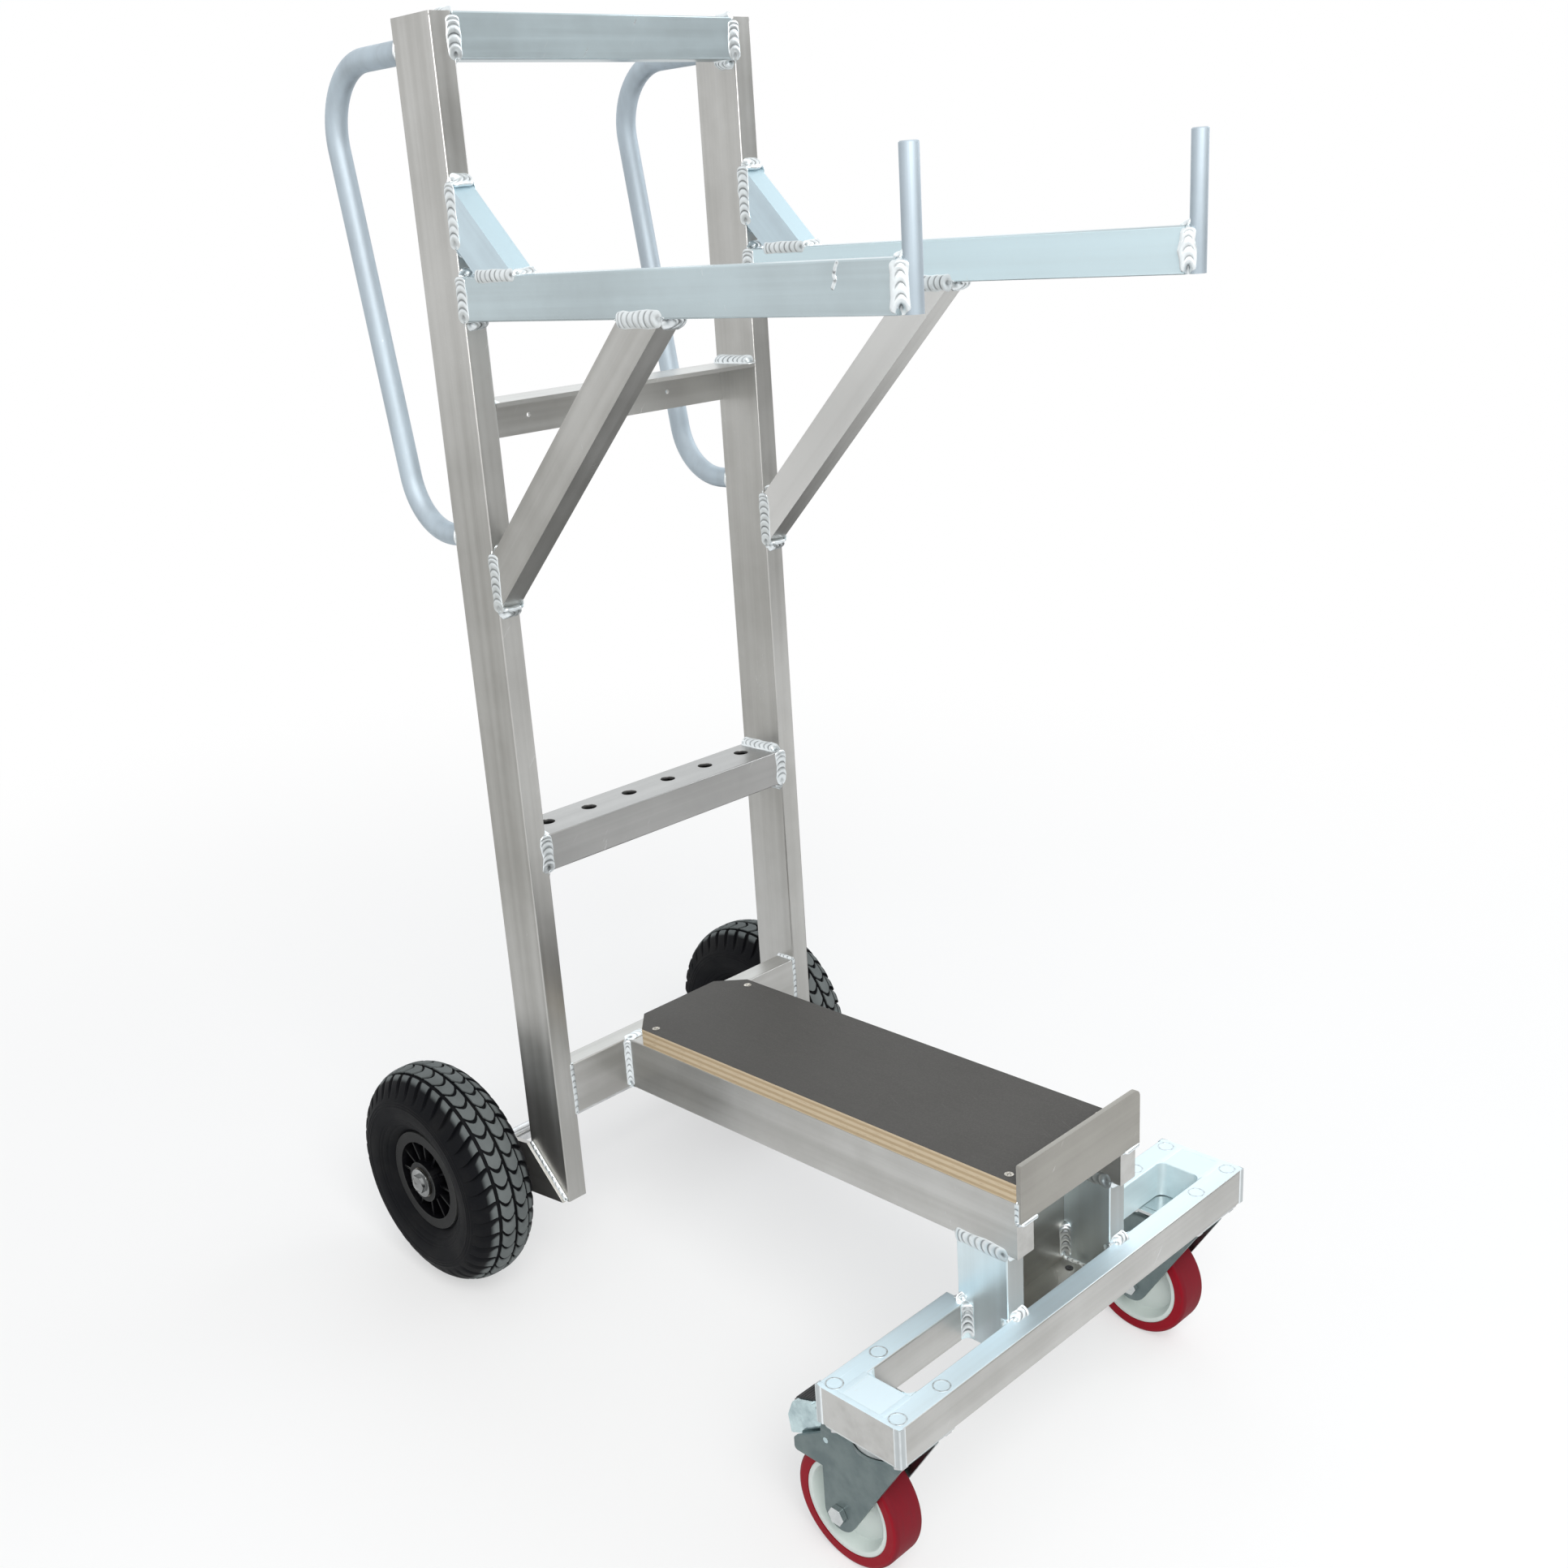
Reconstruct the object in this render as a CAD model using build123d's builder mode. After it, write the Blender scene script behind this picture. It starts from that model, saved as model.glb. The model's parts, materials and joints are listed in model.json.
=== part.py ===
from build123d import *
from math import cos, radians, sin, sqrt
import os

os.makedirs("parts", exist_ok=True)

# The cart is drawn square in its own frame: X across, Y from front (negative) to back, Z up the uprights.
# The front faces of the uprights lie at y = 0. The welded frame then leans back on its wheels.

# Standing attitude
lean = 6.0
stand_y = 266.78

# Tube stock
tube_w = 25.0
tube_tall = 60.0
tube_mid = 40.0
tube_wall = 3.0
tube_corner = 1.5
tube_plug = 4.0

# Uprights and the bars between them
frame_w = 400.0
upright_bottom = 118.0
upright_top = 1330.0
cap_t = 4.0
angle_top = 988.0
angle_leg = 40.0
angle_t = 4.0
angle_hole_r = 2.5
angle_hole_x = 95.0
angle_hole_drop = 22.0
bar_bottom = 507.0
rod_hole_r = 8.5
rod_hole_y = 35.0
rod_pitch = 58.0
rod_count = 6
base_bottom = 220.0

# Arms, pegs, corner pieces and braces
arm_bottom = 1065.0
arm_len = 530.0
peg_r = 7.5
peg_sink = 1.5
peg_top = 1182.0
peg_bevel = 1.0
gusset_leg = 82.0
brace_leg = 275.0

# Handles
handle_r = 11.0
handle_wall = 2.5
handle_high = 1303.0
handle_low = 859.0
grip_high_y = 204.0
grip_low_y = 134.0
handle_bend = 65.0

# Deck and the frame below it
base_w = 190.0
rail_len = 542.0
deck_t = 20.0
deck_inset = 25.0
deck_clip = 28.0
bearer_h = 25.0
bearer_rear = 37.0
bearer_front = 525.0
lip_t = 5.0
lip_bottom = 260.0
lip_h = 60.0
lip_near_corner = 1.5
lip_far_corner = 9.0

# Caster beam and its posts
beam_front = 555.0
beam_depth = 100.0
beam_len = 560.0
beam_bottom = 108.0
cross_w = 40.0
end_t = 3.0
web_t = 5.0
floor_t = 3.0
drain_r = 2.5
drain_x = 57.0
drain_back = 40.0
boss_r = 8.0
boss_thread = 24.0

# Rear wheels
axle_y = 150.0
axle_z = 130.0
axle_r = 10.0
stud_r = 6.0
plate_t = 6.0
plate_rise = 56.0
plate_start = 4.0
plate_end_r = 30.0
wheel_r = 130.0
spacer_len = 16.5
tyre_w = 85.0
tread_groove = 3.0
side_groove_w = 2.5
bead_r = 51.0
bead_x = 27.0
bead_top = 60.0
tyre_skin = 8.0
crown_skin = 12.8
waist_r = 91.0
shoulder_r = 117.0
shoulder_x = 32.8
crown_mid_r = 126.5
crown_mid_x = 20.0
hub_w = 70.0
hub_r = 24.0
flange_r = 59.0
rim_skin = 4.0
web_thick = 6.0
rib_count = 12
rib_t = 3.0
rib_root = 1.0
bore_gap = 2.0
bearing_r = 17.5
bearing_w = 14.0
run_gap = 0.05
side_gap = 0.5
washer_r = 17.0
washer_t = 2.5
nut_flat = 19.0
nut_t = 4.0
dome_t = 4.0
dome_r = 9.0
spacer_r = 14.0

# Casters
caster_x = 238.0
bolt_x = 30.0
bolt_y = 37.5
bolt_r = 4.0
bolt_hole_r = 4.5
bolt_flat = 13.0
bolt_head = 5.3
bolt_spare = 2.0
plate_x = 80.0
plate_y = 95.0
top_t = 4.0
top_corner = 8.0
race_r = 33.0
race_t = 6.0
balls_out = 34.0
balls_in = 23.0
balls_t = 5.7
king_r = 6.0
king_head_r = 12.0
king_head_t = 5.0
king_gap = 0.1
swivel_gap = 0.3
fork_t = 4.0
fork_bend = 7.0
cup_r = 35.0
fork_front = 35.0
leg_boss_r = 19.0
cheek_reach = 36.0
cheek_top = 20.0
cheek_fall = 23.0
cheek_h = 14.0
cheek_round = 4.0
trail = 43.0
caster_r = 62.5
caster_w = 38.0
tread_round = 5.0
caster_hub_r = 50.0
hub_edge = 1.0
hub_rim_t = 5.0
hub_web = 8.0
hub_cone = 4.0
caster_boss_r = 16.0
caster_boss_w = 46.0
pin_r = 5.0
pin_flat = 17.0
pin_head = 6.5
hinge_back = 56.0
hinge_drop = 14.0
hinge_r = 3.0
hinge_boss_r = 6.0
pedal_w = 40.0
pedal_t = 3.5
pedal_bend = 6.0
pedal_flange = 3.0
crest_back = 21.0
crest_rise = 23.0
brow_back = 47.0
brow_rise = 14.0
nose_back = 54.0
nose_drop = 4.0
tail_back = 51.0
tail_drop = 22.0
skirt_back = 24.0
skirt_drop = 11.0
shoe_w = 26.0
shoe_r = 5.0
shoe_back = 19.0
shoe_drop = 8.0

# Values that follow from the ones above
arm_top = arm_bottom + tube_mid
arm_mid = arm_bottom + tube_mid / 2
tube_x = frame_w / 2 - tube_w / 2
span = frame_w - 2 * tube_w
rail_top = base_bottom + tube_tall
rail_x = base_w / 2 - tube_w / 2
peg_y = arm_len + peg_r - peg_sink
beam_top = beam_bottom + tube_mid
beam_rear = beam_front - beam_depth
front_rail_y = beam_front - tube_w / 2
rear_rail_y = beam_rear + tube_w / 2
rail_end = beam_len / 2 - end_t
swivel_y = (front_rail_y + rear_rail_y) / 2
roll_y = swivel_y - trail
lean_s = sin(radians(lean))
lean_c = cos(radians(lean))
roll_z = axle_z + (caster_r - wheel_r - (axle_y + roll_y) * lean_s) / lean_c
race_bottom = beam_bottom - top_t - race_t
crown_top = race_bottom - balls_t - swivel_gap
crown_bottom = crown_top - fork_t
leg_x = caster_boss_w / 2 + side_gap
hub_in = frame_w / 2 + plate_t + spacer_len + side_gap
wheel_x = hub_in + hub_w / 2
hub_out = hub_in + hub_w
axle_end = hub_out + side_gap

cart_to_stand = Location((0, stand_y, wheel_r)) * Location((0, 0, 0), (-lean, 0, 0))
cart_to_stand = cart_to_stand * Location((0, -axle_y, -axle_z))
wheel_axis = Axis((0, stand_y, wheel_r), (1, 0, 0))
sides = (("left", -1), ("right", 1))


def leaned(plane):
    """Carry a plane of the cart's own frame to where the leaning cart has it."""
    return Plane(cart_to_stand * plane.location)


def flat(z):
    """Plane across the uprights at height z."""
    return leaned(Plane.XY.offset(z))


def facing(y):
    """Plane facing the front, y behind the upright fronts."""
    return leaned(Plane.XZ.offset(-y))


def across(x):
    """Plane facing right at x, drawn in y and z."""
    return leaned(Plane.YZ.offset(x))


def tube_profile(width, height):
    """Section of a welded rectangular tube."""
    RectangleRounded(width, height, tube_corner)
    Rectangle(width - 2 * tube_wall, height - 2 * tube_wall, mode=Mode.SUBTRACT)


def mitre_outline(leg, corner_z, up):
    """Side view of a tube cut at 45 degrees at both ends, set into the corner at (0, corner_z)."""
    short = leg - tube_mid * sqrt(2)
    return ((0, corner_z + up * leg), (-leg, corner_z), (-short, corner_z), (0, corner_z + up * short))


def mitre_bore(leg, corner_z, up):
    """Side view of the hollow in the same tube, run out past both cut ends."""
    skin = tube_wall * sqrt(2)
    far = leg - skin
    near = leg - tube_mid * sqrt(2) + skin
    over = tube_mid
    return (
        (over, corner_z + up * (far + over)),
        (-far - over, corner_z - up * over),
        (-near - over, corner_z - up * over),
        (over, corner_z + up * (near + over)),
    )


# Uprights
for side, s in sides:
    with BuildPart() as upright:
        with BuildSketch(flat(upright_bottom)):
            with Locations((s * tube_x, tube_tall / 2)):
                tube_profile(tube_w, tube_tall)
        extrude(amount=upright_top - cap_t - upright_bottom)
    upright.part.label = f"{side}_upright"
    export_step(upright.part, f"parts/{side}_upright.step")

# Closing caps welded on the uprights
with BuildPart() as upright_caps:
    with BuildSketch(flat(upright_top - cap_t)):
        with Locations((-tube_x, tube_tall / 2), (tube_x, tube_tall / 2)):
            RectangleRounded(tube_w, tube_tall, tube_corner)
    extrude(amount=cap_t)
upright_caps.part.label = "upright_caps"
export_step(upright_caps.part, "parts/upright_caps.step")

# Bars between the uprights
with BuildPart() as top_crossbar:
    with BuildSketch(across(-span / 2)):
        with Locations((tube_w / 2, upright_top - tube_mid / 2)):
            tube_profile(tube_w, tube_mid)
    extrude(amount=span)
top_crossbar.part.label = "top_crossbar"
export_step(top_crossbar.part, "parts/top_crossbar.step")

with BuildPart() as mid_angle:
    with BuildSketch(across(-span / 2)):
        with Locations((tube_tall / 2, angle_top - angle_t / 2)):
            Rectangle(tube_tall, angle_t)
        with Locations((tube_tall - angle_t / 2, angle_top - angle_leg / 2)):
            Rectangle(angle_t, angle_leg)
    extrude(amount=span)
    with BuildSketch(facing(tube_tall)):
        with Locations((0, angle_top - angle_hole_drop)):
            with GridLocations(2 * angle_hole_x, 1, 2, 1):
                Circle(angle_hole_r)
    extrude(amount=angle_t, mode=Mode.SUBTRACT)
mid_angle.part.label = "mid_angle"
export_step(mid_angle.part, "parts/mid_angle.step")

with BuildPart() as hole_bar:
    with BuildSketch(across(-span / 2)):
        with Locations((tube_tall / 2, bar_bottom + tube_mid / 2)):
            tube_profile(tube_tall, tube_mid)
    extrude(amount=span)
    with BuildSketch(flat(bar_bottom)):
        with Locations((0, rod_hole_y)):
            with GridLocations(rod_pitch, 1, rod_count, 1):
                Circle(rod_hole_r)
    extrude(amount=tube_mid, mode=Mode.SUBTRACT)
hole_bar.part.label = "hole_bar"
export_step(hole_bar.part, "parts/hole_bar.step")

with BuildPart() as base_crossbar:
    with BuildSketch(across(-span / 2)):
        with Locations((tube_w / 2, base_bottom + tube_tall / 2)):
            tube_profile(tube_w, tube_tall)
    extrude(amount=span)
base_crossbar.part.label = "base_crossbar"
export_step(base_crossbar.part, "parts/base_crossbar.step")

# Arms that catch the stands, with a stop peg on each end
for side, s in sides:
    with BuildPart() as arm:
        with BuildSketch(facing(0)):
            with Locations((s * tube_x, arm_mid)):
                tube_profile(tube_w, tube_mid)
        extrude(amount=arm_len)
        with BuildSketch(facing(tube_plug - arm_len)):
            with Locations((s * tube_x, arm_mid)):
                Rectangle(tube_w - 2 * tube_wall, tube_mid - 2 * tube_wall)
        extrude(amount=tube_plug)
        with BuildSketch(flat(arm_bottom)):
            with Locations((s * tube_x, -peg_y)):
                Circle(peg_r)
        extrude(amount=tube_mid, mode=Mode.SUBTRACT)
    arm.part.label = f"{side}_arm"
    export_step(arm.part, f"parts/{side}_arm.step")

    with BuildPart() as peg:
        with BuildSketch(flat(arm_bottom)):
            with Locations((s * tube_x, -peg_y)):
                Circle(peg_r)
        extrude(amount=peg_top - arm_bottom)
        chamfer(peg.faces().sort_by(Axis.Z)[-1].edges(), length=peg_bevel)
    peg.part.label = f"{side}_peg"
    export_step(peg.part, f"parts/{side}_peg.step")

    with BuildPart() as gusset:
        with BuildSketch(across(s * tube_x - tube_w / 2)):
            Polygon(*mitre_outline(gusset_leg, arm_top, 1), align=None)
        extrude(amount=tube_w)
        with BuildSketch(across(s * tube_x - tube_w / 2 + tube_wall)):
            Polygon(*mitre_bore(gusset_leg, arm_top, 1), align=None)
        extrude(amount=tube_w - 2 * tube_wall, mode=Mode.SUBTRACT)
    gusset.part.label = f"{side}_gusset"
    export_step(gusset.part, f"parts/{side}_gusset.step")

    with BuildPart() as brace:
        with BuildSketch(across(s * tube_x - tube_w / 2)):
            Polygon(*mitre_outline(brace_leg, arm_bottom, -1), align=None)
        extrude(amount=tube_w)
        with BuildSketch(across(s * tube_x - tube_w / 2 + tube_wall)):
            Polygon(*mitre_bore(brace_leg, arm_bottom, -1), align=None)
        extrude(amount=tube_w - 2 * tube_wall, mode=Mode.SUBTRACT)
    brace.part.label = f"{side}_brace"
    export_step(brace.part, f"parts/{side}_brace.step")

    with BuildPart() as handle:
        with BuildLine(across(s * tube_x)) as grip:
            FilletPolyline(
                (tube_tall, handle_high),
                (grip_high_y, handle_high),
                (grip_low_y, handle_low),
                (tube_tall, handle_low),
                radius=handle_bend,
            )
        with BuildSketch(facing(tube_tall)):
            with Locations((s * tube_x, handle_high)):
                Circle(handle_r)
                Circle(handle_r - handle_wall, mode=Mode.SUBTRACT)
        sweep(path=grip.line)
    handle.part.label = f"{side}_handle"
    export_step(handle.part, f"parts/{side}_handle.step")

# Base rails, their bearers, the deck board and the lip that stops it
for side, s in sides:
    with BuildPart() as rail:
        with BuildSketch(facing(0)):
            with Locations((s * rail_x, base_bottom + tube_tall / 2)):
                tube_profile(tube_w, tube_tall)
        extrude(amount=rail_len)
        with BuildSketch(facing(tube_plug - rail_len)):
            with Locations((s * rail_x, base_bottom + tube_tall / 2)):
                Rectangle(tube_w - 2 * tube_wall, tube_tall - 2 * tube_wall)
        extrude(amount=tube_plug)
    rail.part.label = f"{side}_rail"
    export_step(rail.part, f"parts/{side}_rail.step")

with BuildPart() as deck_bearers:
    with BuildSketch(across(tube_w - base_w / 2)):
        with Locations((-bearer_rear, rail_top - bearer_h / 2), (-bearer_front, rail_top - bearer_h / 2)):
            tube_profile(tube_w, bearer_h)
    extrude(amount=base_w - 2 * tube_w)
deck_bearers.part.label = "deck_bearers"
export_step(deck_bearers.part, "parts/deck_bearers.step")

with BuildPart() as deck_board:
    with BuildSketch(flat(rail_top)):
        deck_right = base_w / 2 - deck_inset
        Polygon(
            (-base_w / 2, -rail_len),
            (deck_right, -rail_len),
            (deck_right, -deck_clip),
            (deck_right - deck_clip, 0),
            (deck_clip - base_w / 2, 0),
            (-base_w / 2, -deck_clip),
            align=None,
        )
    extrude(amount=deck_t)
deck_board.part.label = "deck_board"
export_step(deck_board.part, "parts/deck_board.step")

with BuildPart() as lip_plate:
    with BuildSketch(facing(-rail_len)) as lip_face:
        with Locations((0, lip_bottom + lip_h / 2)):
            Rectangle(base_w, lip_h)
        fillet(lip_face.vertices().sort_by(Axis.Y)[-2:].sort_by(Axis.X)[0], lip_near_corner)
        fillet(lip_face.vertices().sort_by(Axis.X)[-2:].sort_by(Axis.Y)[-1], lip_far_corner)
    extrude(amount=lip_t)
lip_plate.part.label = "lip_plate"
export_step(lip_plate.part, "parts/lip_plate.step")

# Posts from the rails down to the caster beam
for side, s in sides:
    with BuildPart() as post:
        with BuildSketch(flat(beam_bottom)):
            with Locations((s * rail_x, tube_w + tube_tall / 2 - beam_front)):
                tube_profile(tube_w, tube_tall)
        extrude(amount=base_bottom - beam_bottom)
    post.part.label = f"{side}_post"
    export_step(post.part, f"parts/{side}_post.step")

with BuildPart() as post_web:
    with BuildSketch(facing(tube_w + tube_tall - beam_front)):
        with Locations((0, (beam_bottom + base_bottom) / 2)):
            Rectangle(base_w - 2 * tube_w, base_bottom - beam_bottom)
    extrude(amount=web_t)
post_web.part.label = "post_web"
export_step(post_web.part, "parts/post_web.step")

# Plate that closes the well between the posts, with a drain hole in one corner
with BuildPart() as well_floor:
    with BuildSketch(flat(beam_bottom)):
        with Locations((0, tube_w - beam_front + (tube_tall - web_t) / 2)):
            Rectangle(base_w - 2 * tube_w, tube_tall - web_t)
        with Locations((drain_x, tube_w - beam_front + drain_back)):
            Circle(drain_r, mode=Mode.SUBTRACT)
    extrude(amount=floor_t)
well_floor.part.label = "well_floor"
export_step(well_floor.part, "parts/well_floor.step")

# Caster beam: two rails, end pieces and bosses for the caster bolts
with BuildPart() as beam_front_rail:
    with BuildSketch(across(-rail_end)):
        with Locations((-front_rail_y, beam_bottom + tube_mid / 2)):
            tube_profile(tube_w, tube_mid)
    extrude(amount=2 * rail_end)
    with BuildSketch(flat(beam_bottom)):
        for x in (-caster_x, caster_x):
            with Locations((x - bolt_x, -front_rail_y), (x + bolt_x, -front_rail_y)):
                Circle(boss_r)
    extrude(amount=tube_mid, mode=Mode.SUBTRACT)
beam_front_rail.part.label = "beam_front_rail"
export_step(beam_front_rail.part, "parts/beam_front_rail.step")

for side, s in sides:
    with BuildPart() as beam_rear_rail:
        with BuildSketch(across(min(s * base_w / 2, s * rail_end))):
            with Locations((-rear_rail_y, beam_bottom + tube_mid / 2)):
                tube_profile(tube_w, tube_mid)
        extrude(amount=rail_end - base_w / 2)
        with BuildSketch(flat(beam_bottom)):
            with Locations((s * caster_x - bolt_x, -rear_rail_y), (s * caster_x + bolt_x, -rear_rail_y)):
                Circle(boss_r)
        extrude(amount=tube_mid, mode=Mode.SUBTRACT)
    beam_rear_rail.part.label = f"{side}_beam_rear_rail"
    export_step(beam_rear_rail.part, f"parts/{side}_beam_rear_rail.step")

with BuildPart() as beam_crosspieces:
    with BuildSketch(facing(tube_w - beam_front)):
        cross_x = rail_end - cross_w / 2
        with Locations((-cross_x, beam_bottom + tube_mid / 2), (cross_x, beam_bottom + tube_mid / 2)):
            tube_profile(cross_w, tube_mid)
    extrude(amount=2 * tube_w - beam_depth)
beam_crosspieces.part.label = "beam_crosspieces"
export_step(beam_crosspieces.part, "parts/beam_crosspieces.step")

with BuildPart() as beam_end_plates:
    for x in (-beam_len / 2, rail_end):
        with BuildSketch(across(x)):
            with Locations((-swivel_y, beam_bottom + tube_mid / 2)):
                Rectangle(beam_depth, tube_mid)
        extrude(amount=end_t)
beam_end_plates.part.label = "beam_end_plates"
export_step(beam_end_plates.part, "parts/beam_end_plates.step")

with BuildPart() as bolt_bosses:
    for x in (-caster_x, caster_x):
        with BuildSketch(flat(beam_bottom)):
            with Locations((x, -swivel_y)):
                with GridLocations(2 * bolt_x, 2 * bolt_y, 2, 2):
                    Circle(boss_r)
        extrude(amount=tube_mid)
        with BuildSketch(flat(beam_bottom)):
            with Locations((x, -swivel_y)):
                with GridLocations(2 * bolt_x, 2 * bolt_y, 2, 2):
                    Circle(bolt_r)
        extrude(amount=boss_thread, mode=Mode.SUBTRACT)
bolt_bosses.part.label = "bolt_bosses"
export_step(bolt_bosses.part, "parts/bolt_bosses.step")

with BuildPart() as caster_bolts:
    for x in (-caster_x, caster_x):
        with BuildSketch(flat(beam_bottom - top_t - bolt_head)):
            with Locations((x, -swivel_y)):
                with GridLocations(2 * bolt_x, 2 * bolt_y, 2, 2):
                    RegularPolygon(bolt_flat / 2, 6, major_radius=False)
        extrude(amount=bolt_head)
        with BuildSketch(flat(beam_bottom - top_t)):
            with Locations((x, -swivel_y)):
                with GridLocations(2 * bolt_x, 2 * bolt_y, 2, 2):
                    Circle(bolt_r)
        extrude(amount=top_t + boss_thread - bolt_spare)
caster_bolts.part.label = "caster_bolts"
export_step(caster_bolts.part, "parts/caster_bolts.step")

# Rear axle on two plates welded to the feet of the uprights
for side, s in sides:
    with BuildPart() as axle_plate:
        with BuildSketch(across(min(s * frame_w / 2, s * (frame_w / 2 + plate_t)))) as plate_outline:
            Polygon(
                (plate_start, upright_bottom),
                (plate_start + plate_rise, upright_bottom + plate_rise),
                (tube_tall + plate_start, upright_bottom),
                align=None,
            )
            with Locations((axle_y, axle_z)):
                Circle(plate_end_r)
            make_hull(plate_outline.edges())
            with Locations((axle_y, axle_z)):
                Circle(axle_r, mode=Mode.SUBTRACT)
        extrude(amount=plate_t)
    axle_plate.part.label = f"{side}_axle_plate"
    export_step(axle_plate.part, f"parts/{side}_axle_plate.step")

with BuildPart() as rear_axle:
    with BuildSketch(across(-axle_end)):
        with Locations((axle_y, axle_z)):
            Circle(axle_r)
    extrude(amount=2 * axle_end)
    with BuildSketch(across(-axle_end - washer_t - nut_t)):
        with Locations((axle_y, axle_z)):
            Circle(stud_r)
    extrude(amount=2 * (axle_end + washer_t + nut_t))
rear_axle.part.label = "rear_axle"
export_step(rear_axle.part, "parts/rear_axle.step")

with BuildPart() as axle_spacers:
    for x in (-frame_w / 2 - plate_t - spacer_len, frame_w / 2 + plate_t):
        with BuildSketch(across(x)):
            with Locations((axle_y, axle_z)):
                Circle(spacer_r)
                Circle(axle_r, mode=Mode.SUBTRACT)
        extrude(amount=spacer_len)
axle_spacers.part.label = "axle_spacers"
export_step(axle_spacers.part, "parts/axle_spacers.step")

# Washers and domed nuts on the studs of the axle
with BuildPart() as axle_nuts:
    for s in (-1, 1):
        with BuildSketch(across(min(s * axle_end, s * (axle_end + washer_t)))):
            with Locations((axle_y, axle_z)):
                Circle(washer_r)
                Circle(stud_r, mode=Mode.SUBTRACT)
        extrude(amount=washer_t)
        nut_in = axle_end + washer_t
        with BuildSketch(across(min(s * nut_in, s * (nut_in + nut_t)))):
            with Locations((axle_y, axle_z)):
                RegularPolygon(nut_flat / 2, 6, major_radius=False)
                Circle(stud_r, mode=Mode.SUBTRACT)
        extrude(amount=nut_t)
        nut_out = s * (nut_in + nut_t)
        with BuildSketch(flat(axle_z)):
            with BuildLine():
                Line((nut_out, axle_y), (nut_out, axle_y + dome_r))
                TangentArc((nut_out + s * dome_t, axle_y), (nut_out, axle_y + dome_r), tangent=(0, 1))
                Line((nut_out, axle_y), (nut_out + s * dome_t, axle_y))
            make_face()
        revolve(axis=wheel_axis)
axle_nuts.part.label = "axle_nuts"
export_step(axle_nuts.part, "parts/axle_nuts.step")

# Rear wheels: pneumatic tyre, ribbed rim, two bearings
for side, s in sides:
    cx = s * wheel_x
    half = tyre_w / 2
    groove_y = axle_y + wheel_r - tread_groove
    with BuildPart() as tyre:
        with BuildSketch(flat(axle_z)):
            with BuildLine():
                for k in (-1, 1):
                    bead_in = cx + k * (bead_x - tyre_skin)
                    bead_out = cx + k * bead_x
                    shoulder = (cx + k * shoulder_x, axle_y + shoulder_r)
                    crown = (cx + k * tread_groove, axle_y + wheel_r)
                    Polyline(
                        (bead_in, axle_y + bead_top),
                        (bead_in, axle_y + bead_r),
                        (bead_out, axle_y + bead_r),
                        (bead_out, axle_y + bead_top),
                    )
                    ThreePointArc((bead_out, axle_y + bead_top), (cx + k * half, axle_y + waist_r), shoulder)
                    ThreePointArc(shoulder, (cx + k * crown_mid_x, axle_y + crown_mid_r), crown)
                    Line(crown, (cx + k * tread_groove, groove_y))
                Line((cx - tread_groove, groove_y), (cx + tread_groove, groove_y))
                Spline(
                    (cx - bead_x + tyre_skin, axle_y + bead_top),
                    (cx - half + tyre_skin, axle_y + waist_r),
                    (cx, axle_y + wheel_r - crown_skin),
                    (cx + half - tyre_skin, axle_y + waist_r),
                    (cx + bead_x - tyre_skin, axle_y + bead_top),
                )
            make_face()
        revolve(axis=wheel_axis)
        with BuildSketch(flat(axle_z)):
            with Locations((cx, axle_y + crown_mid_r)):
                with GridLocations(2 * crown_mid_x, 1, 2, 1):
                    Rectangle(side_groove_w, 2 * tread_groove)
        revolve(axis=wheel_axis, mode=Mode.SUBTRACT)
    tyre.part.label = f"{side}_tyre"
    export_step(tyre.part, f"parts/{side}_tyre.step")

    with BuildPart() as rim:
        with BuildSketch(flat(axle_z)):
            with Locations((cx, axle_y + (bearing_r + hub_r) / 2)):
                Rectangle(hub_w, hub_r - bearing_r)
            with Locations((cx, axle_y + (hub_r + bead_r) / 2)):
                Rectangle(web_thick, bead_r - hub_r)
            with Locations((cx, axle_y + bead_r - rim_skin / 2)):
                Rectangle(2 * bead_x + 2 * rim_skin, rim_skin)
            for side_x in (cx - bead_x - rim_skin / 2, cx + bead_x + rim_skin / 2):
                with Locations((side_x, axle_y + (bead_r + flange_r) / 2 - rim_skin / 2)):
                    Rectangle(rim_skin, flange_r - bead_r + rim_skin)
            with Locations((cx, axle_y + (axle_r + bore_gap + bearing_r) / 2)):
                Rectangle(hub_w - 2 * bearing_w, bearing_r - axle_r - bore_gap)
        revolve(axis=wheel_axis)
        with BuildSketch(across(cx - bead_x)):
            with Locations((axle_y, axle_z)):
                with PolarLocations((hub_r + bead_r - rim_skin) / 2, rib_count):
                    Rectangle(bead_r - rim_skin - hub_r + 2 * rib_root, rib_t)
        extrude(amount=2 * bead_x)
    rim.part.label = f"{side}_rim"
    export_step(rim.part, f"parts/{side}_rim.step")

    with BuildPart() as wheel_bearings:
        for x in (cx - hub_w / 2, cx + hub_w / 2 - bearing_w):
            with BuildSketch(across(x)):
                with Locations((axle_y, axle_z)):
                    Circle(bearing_r)
                    Circle(axle_r + run_gap, mode=Mode.SUBTRACT)
            extrude(amount=bearing_w)
    wheel_bearings.part.label = f"{side}_wheel_bearings"
    export_step(wheel_bearings.part, f"parts/{side}_wheel_bearings.step")

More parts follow.
